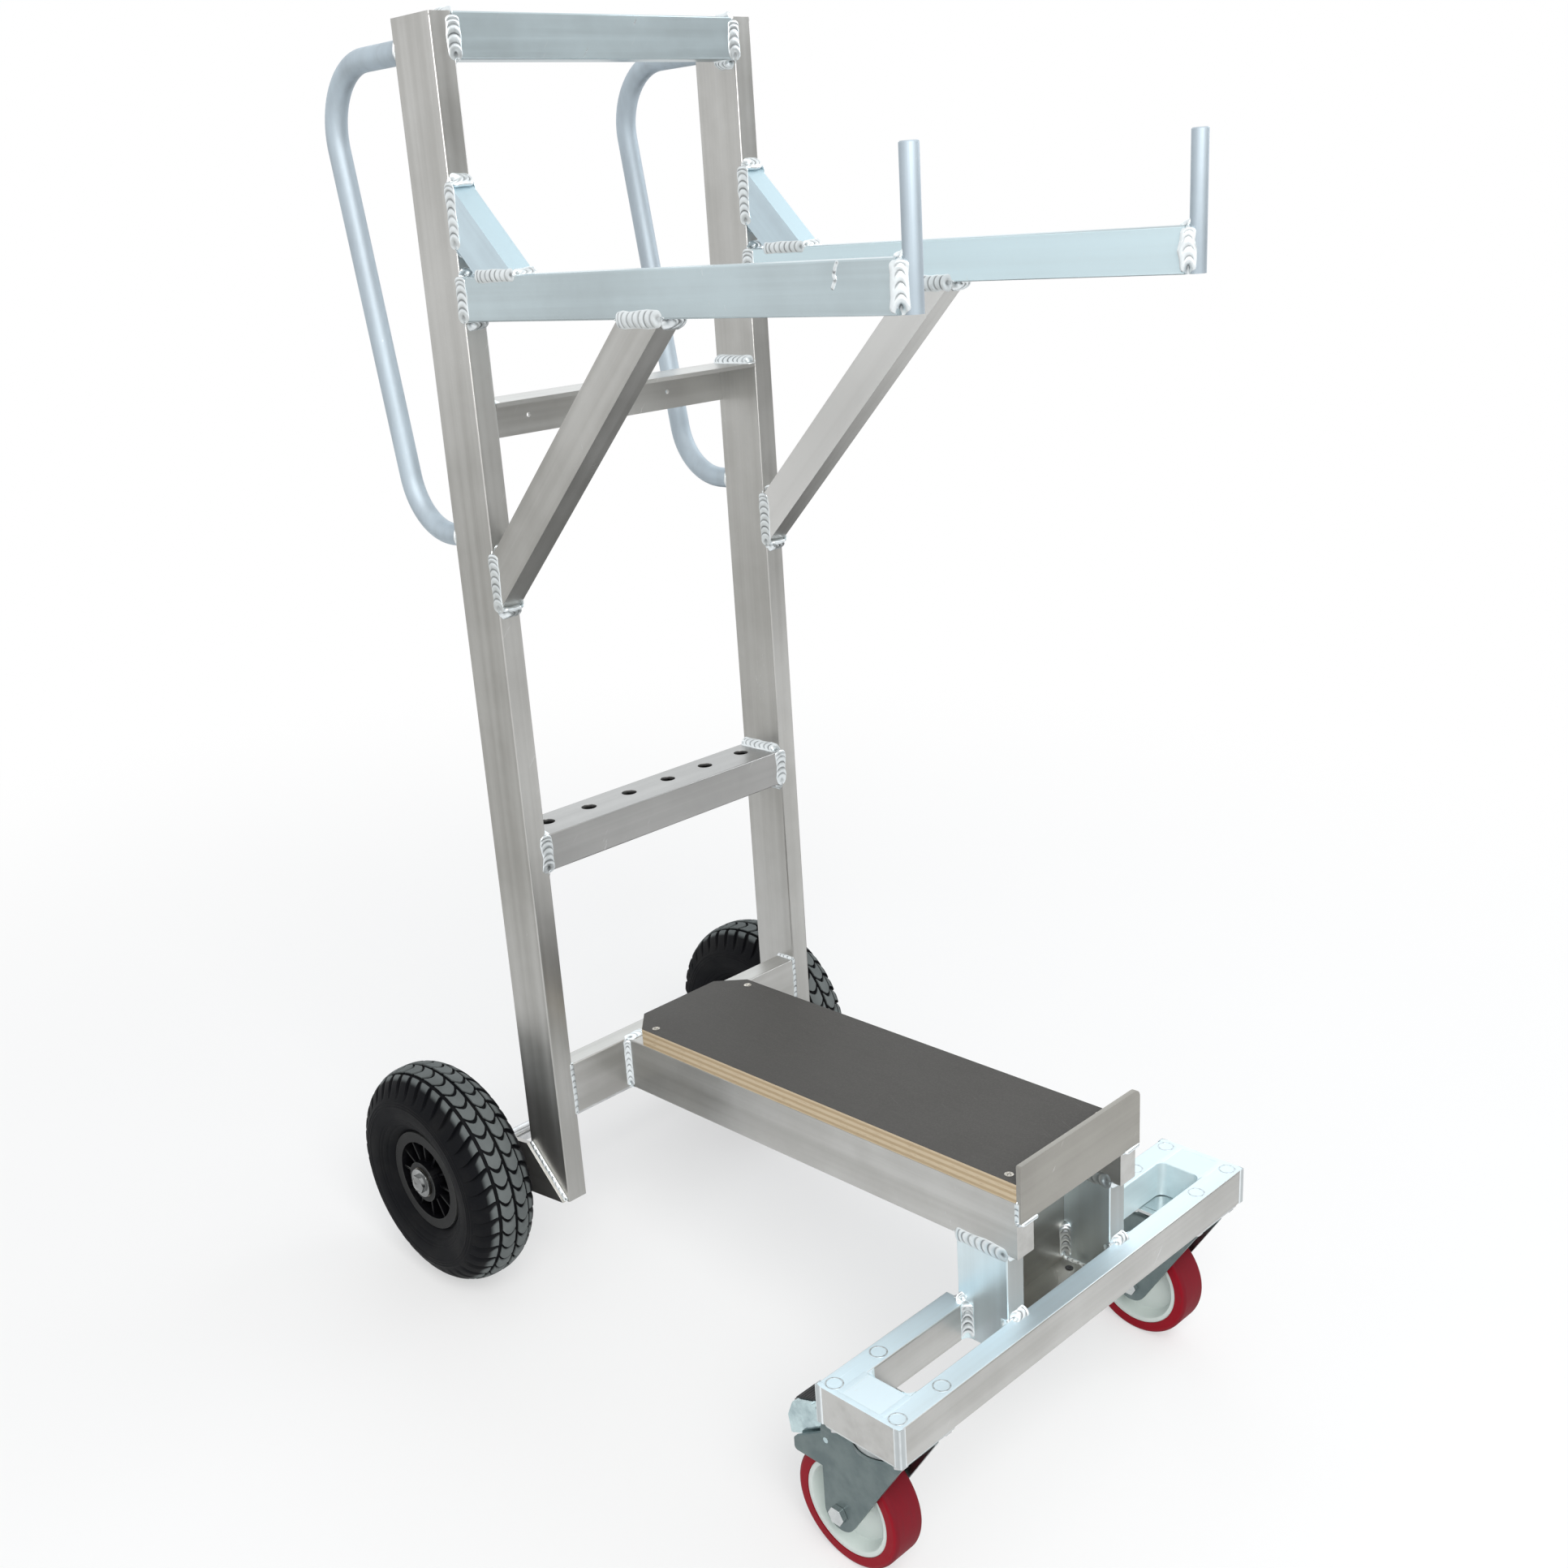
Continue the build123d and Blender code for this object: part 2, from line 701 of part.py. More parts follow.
# Swivel casters: bolted plate, king pin, ball ring, pressed fork, braked wheel
for side, s in sides:
    cx = s * caster_x
    with BuildPart() as caster_plate:
        with BuildSketch(flat(beam_bottom - top_t)):
            with Locations((cx, -swivel_y)):
                RectangleRounded(plate_x, plate_y, top_corner)
                Circle(king_r, mode=Mode.SUBTRACT)
                with GridLocations(2 * bolt_x, 2 * bolt_y, 2, 2):
                    Circle(bolt_hole_r, mode=Mode.SUBTRACT)
        extrude(amount=top_t)
        with BuildSketch(flat(race_bottom)):
            with Locations((cx, -swivel_y)):
                Circle(race_r)
                Circle(king_r, mode=Mode.SUBTRACT)
        extrude(amount=race_t)
    caster_plate.part.label = f"{side}_caster_plate"
    export_step(caster_plate.part, f"parts/{side}_caster_plate.step")

with BuildPart() as ball_rings:
    with BuildSketch(flat(race_bottom - balls_t)):
        with Locations((-caster_x, -swivel_y), (caster_x, -swivel_y)):
            Circle(balls_out)
            Circle(balls_in, mode=Mode.SUBTRACT)
    extrude(amount=balls_t)
ball_rings.part.label = "ball_rings"
export_step(ball_rings.part, "parts/ball_rings.step")

with BuildPart() as king_pins:
    head_top = crown_bottom - swivel_gap
    with BuildSketch(flat(head_top)):
        with Locations((-caster_x, -swivel_y), (caster_x, -swivel_y)):
            Circle(king_r)
    extrude(amount=beam_bottom - head_top)
    with BuildSketch(flat(head_top - king_head_t)):
        with Locations((-caster_x, -swivel_y), (caster_x, -swivel_y)):
            Circle(king_head_r)
    extrude(amount=king_head_t)
king_pins.part.label = "king_pins"
export_step(king_pins.part, "parts/king_pins.step")

fork_y0 = -swivel_y - fork_front
fork_y1 = leg_boss_r - roll_y
fork_foot = roll_z - leg_boss_r
hinge_y = hinge_back - swivel_y
hinge_z = crown_bottom - hinge_drop
for side, s in sides:
    cx = s * caster_x
    with BuildPart() as fork:
        with BuildSketch(facing(fork_y1 + cheek_reach)):
            with BuildLine():
                sheet_x = leg_x + fork_t / 2
                FilletPolyline(
                    (cx - sheet_x, fork_foot),
                    (cx - sheet_x, crown_top - fork_t / 2),
                    (cx + sheet_x, crown_top - fork_t / 2),
                    (cx + sheet_x, fork_foot),
                    radius=fork_bend,
                )
            trace(line_width=fork_t)
        extrude(amount=fork_y1 + cheek_reach - fork_y0)
        with BuildSketch(across(cx - leg_x - fork_t)) as side_view:
            with Locations(((fork_y0 + fork_y1) / 2, crown_top - fork_t / 2)):
                Rectangle(fork_y1 - fork_y0, fork_t)
            with Locations((-roll_y, roll_z)):
                Circle(leg_boss_r)
            make_hull(side_view.edges())
            with BuildLine():
                FilletPolyline(
                    (fork_y1 - leg_boss_r, crown_bottom - cheek_top + cheek_fall),
                    (fork_y1, crown_bottom - cheek_top + cheek_fall / 2),
                    (fork_y1 + cheek_reach, crown_bottom - cheek_top - cheek_fall / 2),
                    (fork_y1 + cheek_reach, crown_bottom - cheek_top - cheek_fall / 2 - cheek_h),
                    (fork_y1 - leg_boss_r, crown_bottom - cheek_top - cheek_fall / 2 - cheek_h),
                    close=True,
                    radius=cheek_round,
                )
            make_face()
            with Locations((-roll_y, roll_z)):
                Circle(pin_r, mode=Mode.SUBTRACT)
            with Locations((hinge_y, hinge_z)):
                Circle(hinge_r + run_gap, mode=Mode.SUBTRACT)
        extrude(amount=2 * (leg_x + fork_t), mode=Mode.INTERSECT)
        with BuildSketch(flat(crown_bottom)):
            with Locations((cx, -swivel_y)):
                Circle(cup_r)
        extrude(amount=fork_t)
        with BuildSketch(flat(crown_bottom)):
            with Locations((cx, -swivel_y)):
                Circle(king_r + king_gap)
        extrude(amount=fork_t, mode=Mode.SUBTRACT)
    fork.part.label = f"{side}_caster_fork"
    export_step(fork.part, f"parts/{side}_caster_fork.step")

    with BuildPart() as caster_axle:
        pin_half = leg_x + fork_t
        with BuildSketch(across(cx - pin_half)):
            with Locations((-roll_y, roll_z)):
                Circle(pin_r)
        extrude(amount=2 * pin_half)
        for x in (cx - pin_half - pin_head, cx + pin_half):
            with BuildSketch(across(x)):
                with Locations((-roll_y, roll_z)):
                    RegularPolygon(pin_flat / 2, 6, major_radius=False)
            extrude(amount=pin_head)
    caster_axle.part.label = f"{side}_caster_axle"
    export_step(caster_axle.part, f"parts/{side}_caster_axle.step")

    roll_at = cart_to_stand * Location((cx, -roll_y, roll_z))
    roll_axis = Axis(roll_at.position, (1, 0, 0))
    with BuildPart() as caster_hub:
        with BuildSketch(flat(roll_z)):
            boss_x = caster_boss_w / 2
            rim_x = caster_w / 2 - hub_edge
            web_x = hub_web / 2
            bore = pin_r + run_gap - roll_y
            with BuildLine():
                Polyline(
                    (cx - boss_x, bore),
                    (cx - boss_x, caster_boss_r - roll_y),
                    (cx - web_x - hub_cone, caster_boss_r - roll_y),
                    (cx - web_x, caster_hub_r - 2 * hub_rim_t - roll_y),
                    (cx - rim_x, caster_hub_r - hub_rim_t - roll_y),
                    (cx - rim_x, caster_hub_r - roll_y),
                    (cx, caster_hub_r - roll_y),
                    (cx, bore),
                    close=True,
                )
            make_face()
            mirror(about=Plane.YZ.offset(cx))
        revolve(axis=roll_axis)
    caster_hub.part.label = f"{side}_caster_hub"
    export_step(caster_hub.part, f"parts/{side}_caster_hub.step")

    with BuildPart() as caster_tread:
        with BuildSketch(flat(roll_z)) as tread_profile:
            with Locations((cx, (caster_hub_r + caster_r) / 2 - roll_y)):
                Rectangle(caster_w, caster_r - caster_hub_r)
            fillet(tread_profile.vertices().group_by(Axis.Y)[-1], tread_round)
        revolve(axis=roll_axis)
    caster_tread.part.label = f"{side}_caster_tread"
    export_step(caster_tread.part, f"parts/{side}_caster_tread.step")

    with BuildPart() as brake_pedal:
        hood = (
            (hinge_y, hinge_z),
            (hinge_y + crest_back, hinge_z + crest_rise),
            (hinge_y + brow_back, hinge_z + brow_rise),
            (hinge_y + nose_back, hinge_z - nose_drop),
            (hinge_y + tail_back, hinge_z - tail_drop),
        )
        with BuildSketch(across(cx - pedal_w / 2)):
            with BuildLine():
                FilletPolyline(*hood, radius=pedal_bend)
            trace(line_width=pedal_t)
            with Locations((hinge_y, hinge_z)):
                Circle(hinge_boss_r)
        extrude(amount=pedal_w)
        for x in (cx - pedal_w / 2, cx + pedal_w / 2 - pedal_flange):
            with BuildSketch(across(x)):
                Polygon(*hood, (hinge_y + skirt_back, hinge_z - skirt_drop), align=None)
            extrude(amount=pedal_flange)
        with BuildSketch(across(cx - shoe_w / 2)) as shoe:
            with Locations((hinge_y, hinge_z)):
                Circle(hinge_boss_r)
            with Locations((hinge_y + shoe_back, hinge_z - shoe_drop)):
                Circle(shoe_r)
            make_hull(shoe.edges())
        extrude(amount=shoe_w)
        with BuildSketch(across(cx - leg_x - fork_t)):
            with Locations((hinge_y, hinge_z)):
                Circle(hinge_r)
        extrude(amount=2 * (leg_x + fork_t))
    brake_pedal.part.label = f"{side}_brake_pedal"
    export_step(brake_pedal.part, f"parts/{side}_brake_pedal.step")
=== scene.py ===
"""Looks of a leaning stand cart: welded aluminium frame, film-faced deck, air tyres and braked casters."""

import json
import logging
import math
import random
from collections.abc import Callable
from dataclasses import dataclass, field
from enum import Enum
from functools import partial
from itertools import product

import bmesh
import bpy
import numpy as np
from mathutils import Euler, Matrix, Vector


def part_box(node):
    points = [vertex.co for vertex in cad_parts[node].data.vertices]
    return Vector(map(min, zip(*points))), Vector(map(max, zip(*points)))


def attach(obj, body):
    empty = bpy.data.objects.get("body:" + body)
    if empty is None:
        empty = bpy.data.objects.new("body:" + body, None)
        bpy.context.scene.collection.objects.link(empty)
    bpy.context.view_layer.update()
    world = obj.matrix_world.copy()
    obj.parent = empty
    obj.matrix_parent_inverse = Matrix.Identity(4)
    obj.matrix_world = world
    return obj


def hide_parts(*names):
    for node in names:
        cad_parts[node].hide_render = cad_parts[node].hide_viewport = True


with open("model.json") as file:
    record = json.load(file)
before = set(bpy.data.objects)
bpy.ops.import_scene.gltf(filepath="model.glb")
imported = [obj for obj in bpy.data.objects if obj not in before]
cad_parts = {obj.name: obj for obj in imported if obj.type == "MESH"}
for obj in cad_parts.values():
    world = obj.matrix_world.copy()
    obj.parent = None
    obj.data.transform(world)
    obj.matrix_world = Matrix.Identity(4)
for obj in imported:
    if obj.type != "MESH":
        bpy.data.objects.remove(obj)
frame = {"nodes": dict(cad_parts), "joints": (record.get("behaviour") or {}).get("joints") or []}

log = logging.getLogger("stand_cart")
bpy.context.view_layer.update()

MM = 0.001
SIDES = (("left", -1), ("right", 1))
ACROSS, BACK, UP = np.eye(3)

# Points nearer than JOIN are one, and faces nearer than TOUCH lie on each other
JOIN = 1e-6
TOUCH = 0.0002
# Degrees above which an edge is sharp, the break that sharp edges have, and the points in a circle
SHARP = 40.0
EDGE_BREAK = 0.5 * MM
ROUND = 28

Points = np.ndarray
Colour = tuple[float, float, float]
Lay = Callable[..., None]
Edge = tuple[Points, Points, Points, bool]


class Run(Enum):
    """Which way the grain of a drawn tube or a rolled plate runs, as turns about the cart's x and y axes."""

    ACROSS = (0.0, math.pi / 2)
    ALONG = (math.pi / 2, 0.0)
    UP = (0.0, 0.0)
    FALLING = (math.pi / 4, 0.0)
    RISING = (-math.pi / 4, 0.0)


class Seam(Enum):
    """How two pieces meet.

    Each way has its bead's half width, rise and lift from the corner in mm, and the share that ripples.
    """

    CORNER = (8.4, 2.6, 4.2, 0.5)
    FILLET = (7.6, 3.6, 1.0, 0.2)
    FLAT = (5.8, 1.2, 0.0, 0.3)
    FLUSH = (7.8, 1.4, 0.0, 0.5)
    FOOT = (5.8, 2.4, 2.0, 0.35)
    GROUND = (3.2, 0.25, 0.0, 0.0)
    LEDGE = (4.0, 2.4, 1.6, 0.4)
    PLUG = (0.9, 0.35, 0.0, 0.1)
    SLIM = (2.8, 1.5, 1.1, 0.4)
    SPATTER = (1.8, 0.9, 0.0, 0.3)
    THIN = (2.6, 0.8, 0.0, 0.3)

    def sizes(self) -> tuple[float, float, float, float]:
        """Return half width, rise and lift in metres, and the share that ripples."""
        half, rise, lift, depth = self.value
        return half * MM, rise * MM, lift * MM, depth

    def flush(self) -> "Seam":
        """Return the bead of the same two pieces where their faces lie flush."""
        return {Seam.SLIM: Seam.THIN, Seam.FOOT: Seam.FLAT}.get(self, Seam.FLUSH)

    def brim(self) -> float:
        """Find where the bead's oval comes out of the faces of a square corner.

        Returns:
            The height there over the middle of the oval, as a share of its rise.
        """
        half, rise, lift, _ = self.value
        if not lift:
            return 0.0
        square = 1 / half**2 + 1 / rise**2
        linear = lift / rise**2
        fixed = (lift / rise) ** 2 - 1
        return ((linear + math.sqrt(linear**2 - square * fixed)) / square - lift) / rise


class Socket:
    """One output of a shader node, with arithmetic that adds Math nodes."""

    def __init__(self, graph: "Graph", output: "bpy.types.NodeSocket | None") -> None:
        """Keep the graph and the node output."""
        self.graph = graph
        self.output = output

    def math(self, operation: str, *values: "Socket | float") -> "Socket":
        """Return a Math node on the given values."""
        return self.graph.node("Math", {"operation": operation}, dict(enumerate(values)))

    def __add__(self, other: "Socket | float") -> "Socket":
        """Sum."""
        return self.math("ADD", self, other)

    __radd__ = __add__

    def __sub__(self, other: "Socket | float") -> "Socket":
        """Difference."""
        return self.math("SUBTRACT", self, other)

    def __rsub__(self, other: float) -> "Socket":
        """Reflected difference."""
        return self.math("SUBTRACT", other, self)

    def __mul__(self, other: "Socket | float") -> "Socket":
        """Product."""
        return self.math("MULTIPLY", self, other)

    __rmul__ = __mul__

    def swing(self, width: float) -> "Socket":
        """Return a value that runs from 0 to 1 as a swing of the given width about 0."""
        return (self - 0.5) * width

    def band(self, low: float, high: float) -> "Socket":
        """Return a smooth step from 0 at low to 1 at high."""
        limits = {"Value": self, "From Min": low, "From Max": high}
        return self.graph.node("MapRange", {"interpolation_type": "SMOOTHSTEP"}, limits)


class Graph:
    """The node tree of a material or a world under construction."""

    def __init__(self, holder: "bpy.types.Material | bpy.types.World") -> None:
        """Clear the node tree of a material or a world."""
        self.holder = holder
        holder.use_nodes = True
        self.tree = holder.node_tree
        self.tree.nodes.clear()

    @classmethod
    def material(cls, name: str) -> "Graph":
        """Start an empty node material."""
        return cls(bpy.data.materials.new(name))

    def node(
        self, kind: str, settings: dict | None = None, inputs: dict | None = None, out: int | str = 0
    ) -> Socket:
        """Add a node.

        Args:
            kind: Blender's type name of the node, without its prefix.
            settings: Properties, set first.
            inputs: Values or sockets by socket name or number.
            out: Which output to return.

        Returns:
            The chosen output.
        """
        made = self.tree.nodes.new(f"ShaderNode{kind}")
        for key, value in (settings or {}).items():
            setattr(made, key, value)
        for key, value in (inputs or {}).items():
            if isinstance(value, Socket):
                self.tree.links.new(value.output, made.inputs[key])
            else:
                made.inputs[key].default_value = value
        return Socket(self, made.outputs[out] if made.outputs else None)

    def place(self) -> Socket:
        """Return the point on the piece in metres, which moves with the piece."""
        return self.node("TexCoord", out="Object")

    def facing(self) -> Socket:
        """Return the surface direction in the piece's own axes."""
        return self.node("TexCoord", out="Normal")

    def part(self, vector: Socket, index: int) -> Socket:
        """Return one of the three values of a vector."""
        return self.node("SeparateXYZ", {}, {0: vector}, index)

    def vector(self, operation: str, *values: "Socket | Colour", out: str = "Vector") -> Socket:
        """Return a Vector Math node on the given values."""
        return self.node("VectorMath", {"operation": operation}, dict(enumerate(values)), out)

    def turn(self, vector: Socket, angles: Colour) -> Socket:
        """Turn a vector by Euler angles."""
        inputs = {"Vector": vector, "Rotation": angles}
        return self.node("VectorRotate", {"rotation_type": "EULER_XYZ"}, inputs)

    def radius(self, place: Socket, middle: Vector) -> Socket:
        """Return the distance of a place from the axle that runs across through a wheel's middle."""
        spoke = self.vector("MULTIPLY", self.vector("SUBTRACT", place, tuple(middle)), (0.0, 1.0, 1.0))
        return self.vector("LENGTH", spoke, out="Value")

    def noise(
        self, vector: Socket, scale: "float | Colour", detail: float = 4.0, rough: float = 0.55
    ) -> Socket:
        """Return fractal noise.

        Args:
            vector: Where it is read.
            scale: How fine it is, in all or for each axis.
            detail: How many finer layers it has.
            rough: How strong the finer layers are.

        Returns:
            A value from 0 to 1.
        """
        if isinstance(scale, tuple):
            vector, scale = self.vector("MULTIPLY", vector, scale), 1.0
        inputs = {"Vector": vector, "Scale": scale, "Detail": detail, "Roughness": rough}
        return self.node("TexNoise", {}, inputs)

    def blend(self, factor: Socket, low: "Socket | Colour", high: "Socket | Colour") -> Socket:
        """Mix two colours by a value."""
        ends = [end if isinstance(end, Socket) else (*end, 1.0) for end in (low, high)]
        return self.node("Mix", {"data_type": "RGBA"}, {0: factor, 6: ends[0], 7: ends[1]}, 2)

    def bump(self, height: Socket, distance: float, strength: float = 1.0) -> Socket:
        """Return a normal bent by a height of the given depth in metres."""
        return self.node("Bump", {}, {"Height": height, "Distance": distance, "Strength": strength})

    def close(self, shader: Socket, kind: str = "Material") -> "bpy.types.Material | bpy.types.World":
        """Give a shader to the output of the material or the world, and return that."""
        self.node(f"Output{kind}", {}, {"Surface": shader})
        return self.holder

    def surface(self, **inputs: "Socket | float | tuple") -> bpy.types.Material:
        """Close the material with a Principled shader; underscores in names stand for spaces."""
        named = {key.replace("_", " "): value for key, value in inputs.items()}
        return self.close(self.node("BsdfPrincipled", {}, named))


def joint(name: str) -> dict:
    """Return a joint of the frame."""
    return next(found for found in frame["joints"] if found["name"] == name)


def linked(name: str, data: bpy.types.ID) -> bpy.types.Object:
    """Put a mesh, a lamp or a camera in the scene.

    Args:
        name: Name of the object.
        data: What it shows.

    Returns:
        The new object.
    """
    made = bpy.data.objects.new(name, data)
    bpy.context.scene.collection.objects.link(made)
    return made


def unit(rows: Points) -> Points:
    """Scale vectors to length one."""
    return rows / np.linalg.norm(rows, axis=-1, keepdims=True)


def round_turns(count: int) -> Points:
    """Return evenly spaced angles of a full turn."""
    return np.arange(count) / count * 2 * np.pi


def circle(middle: Points, first: Points, second: Points, radius: float) -> tuple[Points, Points]:
    """Go round a circle.

    Args:
        middle: Its middle.
        first: Direction of its first point.
        second: Direction a quarter turn on.
        radius: Its radius.

    Returns:
        Its points, and the way each faces outward.
    """
    turns = round_turns(ROUND)
    out = np.cos(turns)[:, None] * first + np.sin(turns)[:, None] * second
    return middle + radius * out, out


def stations(path: Points) -> Points:
    """Return how far along a path each of its corner points lies."""
    return np.concatenate([[0.0], np.cumsum(np.linalg.norm(np.diff(path, axis=0), axis=1))])


def along(rows: Points, gone: Points, at: Points) -> Points:
    """Read rows that are known at the distances gone along a path, at other distances."""
    return np.stack([np.interp(at, gone, column) for column in rows.T], axis=1)


@dataclass(frozen=True)
class CartAxes:
    """The cart's own square axes, which lean back against the floor.

    The zero lies on the rear axle's middle. x runs across, y to the rear and z up the uprights.
    """

    origin: Vector
    turn: Matrix

    @classmethod
    def from_frame(cls) -> "CartAxes":
        """Read the lean from the caster swivel's axis and the zero from the rear axle.

        Returns:
            The axes.
        """
        up = Vector(joint("left_caster_swivel")["axis"]).normalized()
        across = Vector((1.0, 0.0, 0.0))
        low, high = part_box("rear_axle")
        turn = Matrix((across, up.cross(across), up)).transposed()
        return cls((low + high) / 2, turn)

    @property
    def lean(self) -> float:
        """Angle of the uprights from plumb, in radians."""
        return math.atan2(self.turn[1][2], self.turn[2][2])

    def out(self, points: Points) -> Points:
        """Carry points from the cart's axes to the floor's."""
        return np.asarray(points, float) @ np.array(self.turn).T + np.array(self.origin)

    def own(self, points: Points) -> Points:
        """Carry points from the floor's axes to the cart's."""
        return (np.asarray(points, float) - np.array(self.origin)) @ np.array(self.turn)


@dataclass
class Meeting:
    """A plane face where one piece lies on another, by the points of both in that plane."""

    axis: int
    level: float
    below: Points
    above: Points
    least: float = 3 * MM
    step: float = 2 * MM
    overrun: float = 1.2 * MM

    @property
    def low(self) -> Points:
        """Lowest corner of the shared face."""
        return np.maximum(self.below.min(0), self.above.min(0))

    @property
    def high(self) -> Points:
        """Highest corner of the shared face."""
        return np.minimum(self.below.max(0), self.above.max(0))

    def sound(self) -> bool:
        """Tell whether the shared face is large enough to weld."""
        if min(len(self.below), len(self.above)) < 3:
            return False
        return bool(np.all(np.delete(self.high - self.low, self.axis) >= self.least))

    def edges(self) -> list[Edge]:
        """Return the four edges of the shared face."""
        return [self.edge(across, sign) for across in range(3) if across != self.axis for sign in (-1, 1)]

    def edge(self, across: int, sign: int) -> Edge:
        """Work out one edge.

        Args:
            across: Axis that the edge lies across.
            sign: Which of the two edges on that axis.

        Returns:
            Its ends, the way a bead on it faces, and whether the faces make a corner there.
        """
        reaches = [(points[:, across] * sign).max() for points in (self.below, self.above)]
        here = min(reaches)
        past_below, past_above = (reach - here > self.step for reach in reaches)
        facing = np.zeros(3)
        facing[across] = sign
        corner = past_below or past_above
        if corner:
            facing[self.axis] = 1.0 if past_below else -1.0
        else:
            here = max(reaches)
        start, end = self.low, self.high
        for point, longer in ((start, -self.overrun), (end, self.overrun)):
            point[3 - self.axis - across] += longer
            point[across] = here * sign
            point[self.axis] = self.level
        return start, end, unit(facing), corner


@dataclass
class Block:
    """One solid of a node, by its corner points in the cart's axes."""

    points: Points

    @property
    def low(self) -> Points:
        """Lowest corner."""
        return self.points.min(0)

    @property
    def high(self) -> Points:
        """Highest corner."""
        return self.points.max(0)

    @property
    def middle(self) -> Points:
        """Middle of the box."""
        return (self.low + self.high) / 2

    def at(self, axis: int, level: float, fit: float = TOUCH) -> Points:
        """Points that lie on a plane square to an axis."""
        return self.points[np.abs(self.points[:, axis] - level) < fit]

    def meetings(self, other: "Block") -> list[Meeting]:
        """Find where this solid and another lie on each other.

        Args:
            other: The other solid.

        Returns:
            The faces that they share.
        """
        found = []
        for axis in range(3):
            for under, over in ((self, other), (other, self)):
                level = under.high[axis]
                face = Meeting(axis, level, under.at(axis, level), over.at(axis, level))
                if abs(over.low[axis] - level) <= TOUCH and face.sound():
                    found.append(face)
        return found


def blocks(axes: CartAxes, node: str) -> list[Block]:
    """Split a node into its solids.

    Args:
        axes: The cart's axes.
        node: Name of a node of the frame.

    Returns:
        One block for each solid, in order across the cart.
    """
    mesh = bmesh.new()
    mesh.from_mesh(frame["nodes"][node].data)
    bmesh.ops.remove_doubles(mesh, verts=mesh.verts, dist=JOIN)
    left = set(mesh.verts)
    found = []
    while left:
        stack = [left.pop()]
        group = []
        while stack:
            vert = stack.pop()
            group.append(tuple(vert.co))
            near = {edge.other_vert(vert) for edge in vert.link_edges} & left
            left -= near
            stack.extend(near)
        found.append(Block(axes.own(np.array(group))))
    mesh.free()
    return sorted(found, key=lambda block: tuple(np.round(block.middle, 4)))


@dataclass
class Draft:
    """A mesh being gathered from swept and turned surfaces."""

    points: list[Points] = field(default_factory=list)
    faces: list[tuple[int, ...]] = field(default_factory=list)
    painted_light: list[Points] = field(default_factory=list)
    count: int = 0

    def rings(self, rings: Points, closed: bool = False, painted_light: "Points | float" = 1.0) -> None:
        """Join rings of points into a skin.

        Args:
            rings: Array of rings, points in a ring and coordinates.
            closed: Whether the last ring joins the first; open ends are capped otherwise.
            painted_light: The painted highlight and painted shade of weld metal, for each point or for all.
        """
        total, size = rings.shape[:2]
        starts = [self.count + ring * size for ring in range(total)]
        for here, after in zip(starts, starts[1:] + starts[:1] if closed else starts[1:]):
            for k in range(size):
                following = (k + 1) % size
                self.faces.append((here + k, here + following, after + following, after + k))
        if not closed:
            self.faces.append(tuple(range(starts[0], starts[0] + size))[::-1])
            self.faces.append(tuple(range(starts[-1], starts[-1] + size)))
        self.points.append(rings.reshape(-1, 3))
        self.painted_light.append(np.broadcast_to(painted_light, (total, size)).ravel())
        self.count += total * size

    def piece(
        self, name: str, body: str, slot: str, finish: bpy.types.Material, sharp: float = SHARP
    ) -> bpy.types.Object:
        """Make the object.

        Args:
            name: Name of the piece.
            body: Body that it rides on.
            slot: Material slot of the record that its finish belongs to; not used.
            finish: Its material.
            sharp: Angle in degrees above which an edge stays sharp.

        Returns:
            The new object, riding on its body.
        """
        mesh = bpy.data.meshes.new(name)
        mesh.from_pydata(np.concatenate(self.points).tolist(), [], self.faces)
        mesh.validate()
        # This attribute holds the painted highlight and painted shade that weld metal reads
        mesh.attributes.new("painted_light", "FLOAT", "POINT").data.foreach_set("value", np.concatenate(self.painted_light))
        made = bmesh.new()
        made.from_mesh(mesh)
        bmesh.ops.recalc_face_normals(made, faces=made.faces)
        made.to_mesh(mesh)
        made.free()
        mesh.polygons.foreach_set("use_smooth", [True] * len(mesh.polygons))
        mesh.set_sharp_from_angle(angle=math.radians(sharp))
        mesh.materials.append(finish)
        made_object = linked(name, mesh)
        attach(made_object, body)
        log.info("piece %s on %s: %d faces", name, body, len(mesh.polygons))
        return made_object


def dress(node: str, finish: bpy.types.Material, bevel: float = 0.0) -> None:
    """Give a node of the frame its finish.

    Args:
        node: Name of the node.
        finish: Its material.
        bevel: Width of the break on its sharp edges, in metres.
    """
    shown = frame["nodes"][node]
    shown.data.materials.clear()
    shown.data.materials.append(finish)
    if bevel:
        weld = shown.modifiers.new("join", "WELD")
        weld.merge_threshold = JOIN
        edge = shown.modifiers.new("edge", "BEVEL")
        edge.width = bevel
        edge.segments = 2
        edge.limit_method = "ANGLE"
        edge.angle_limit = math.radians(SHARP)
        edge.harden_normals = True
    log.info("node %s: %s", node, finish.name)


@dataclass(frozen=True)
class Coat:
    """One finish and the nodes that have it: those whose sharp edges are broken, and those left plain."""

    name: str
    finish: "MillAluminium | PlatedSteel | Moulded"
    nodes: tuple[str, ...] = ()
    plain: tuple[str, ...] = ()
    bevel: float = EDGE_BREAK

    def lay(self, prefix: str = "") -> bpy.types.Material:
        """Build the finish and give it to the nodes.

        Args:
            prefix: What the names of the finish and the nodes start with.

        Returns:
            The material.
        """
        made = self.finish.build(prefix + self.name)
        for node in self.nodes:
            dress(prefix + node, made, self.bevel)
        for node in self.plain:
            dress(prefix + node, made)
        return made


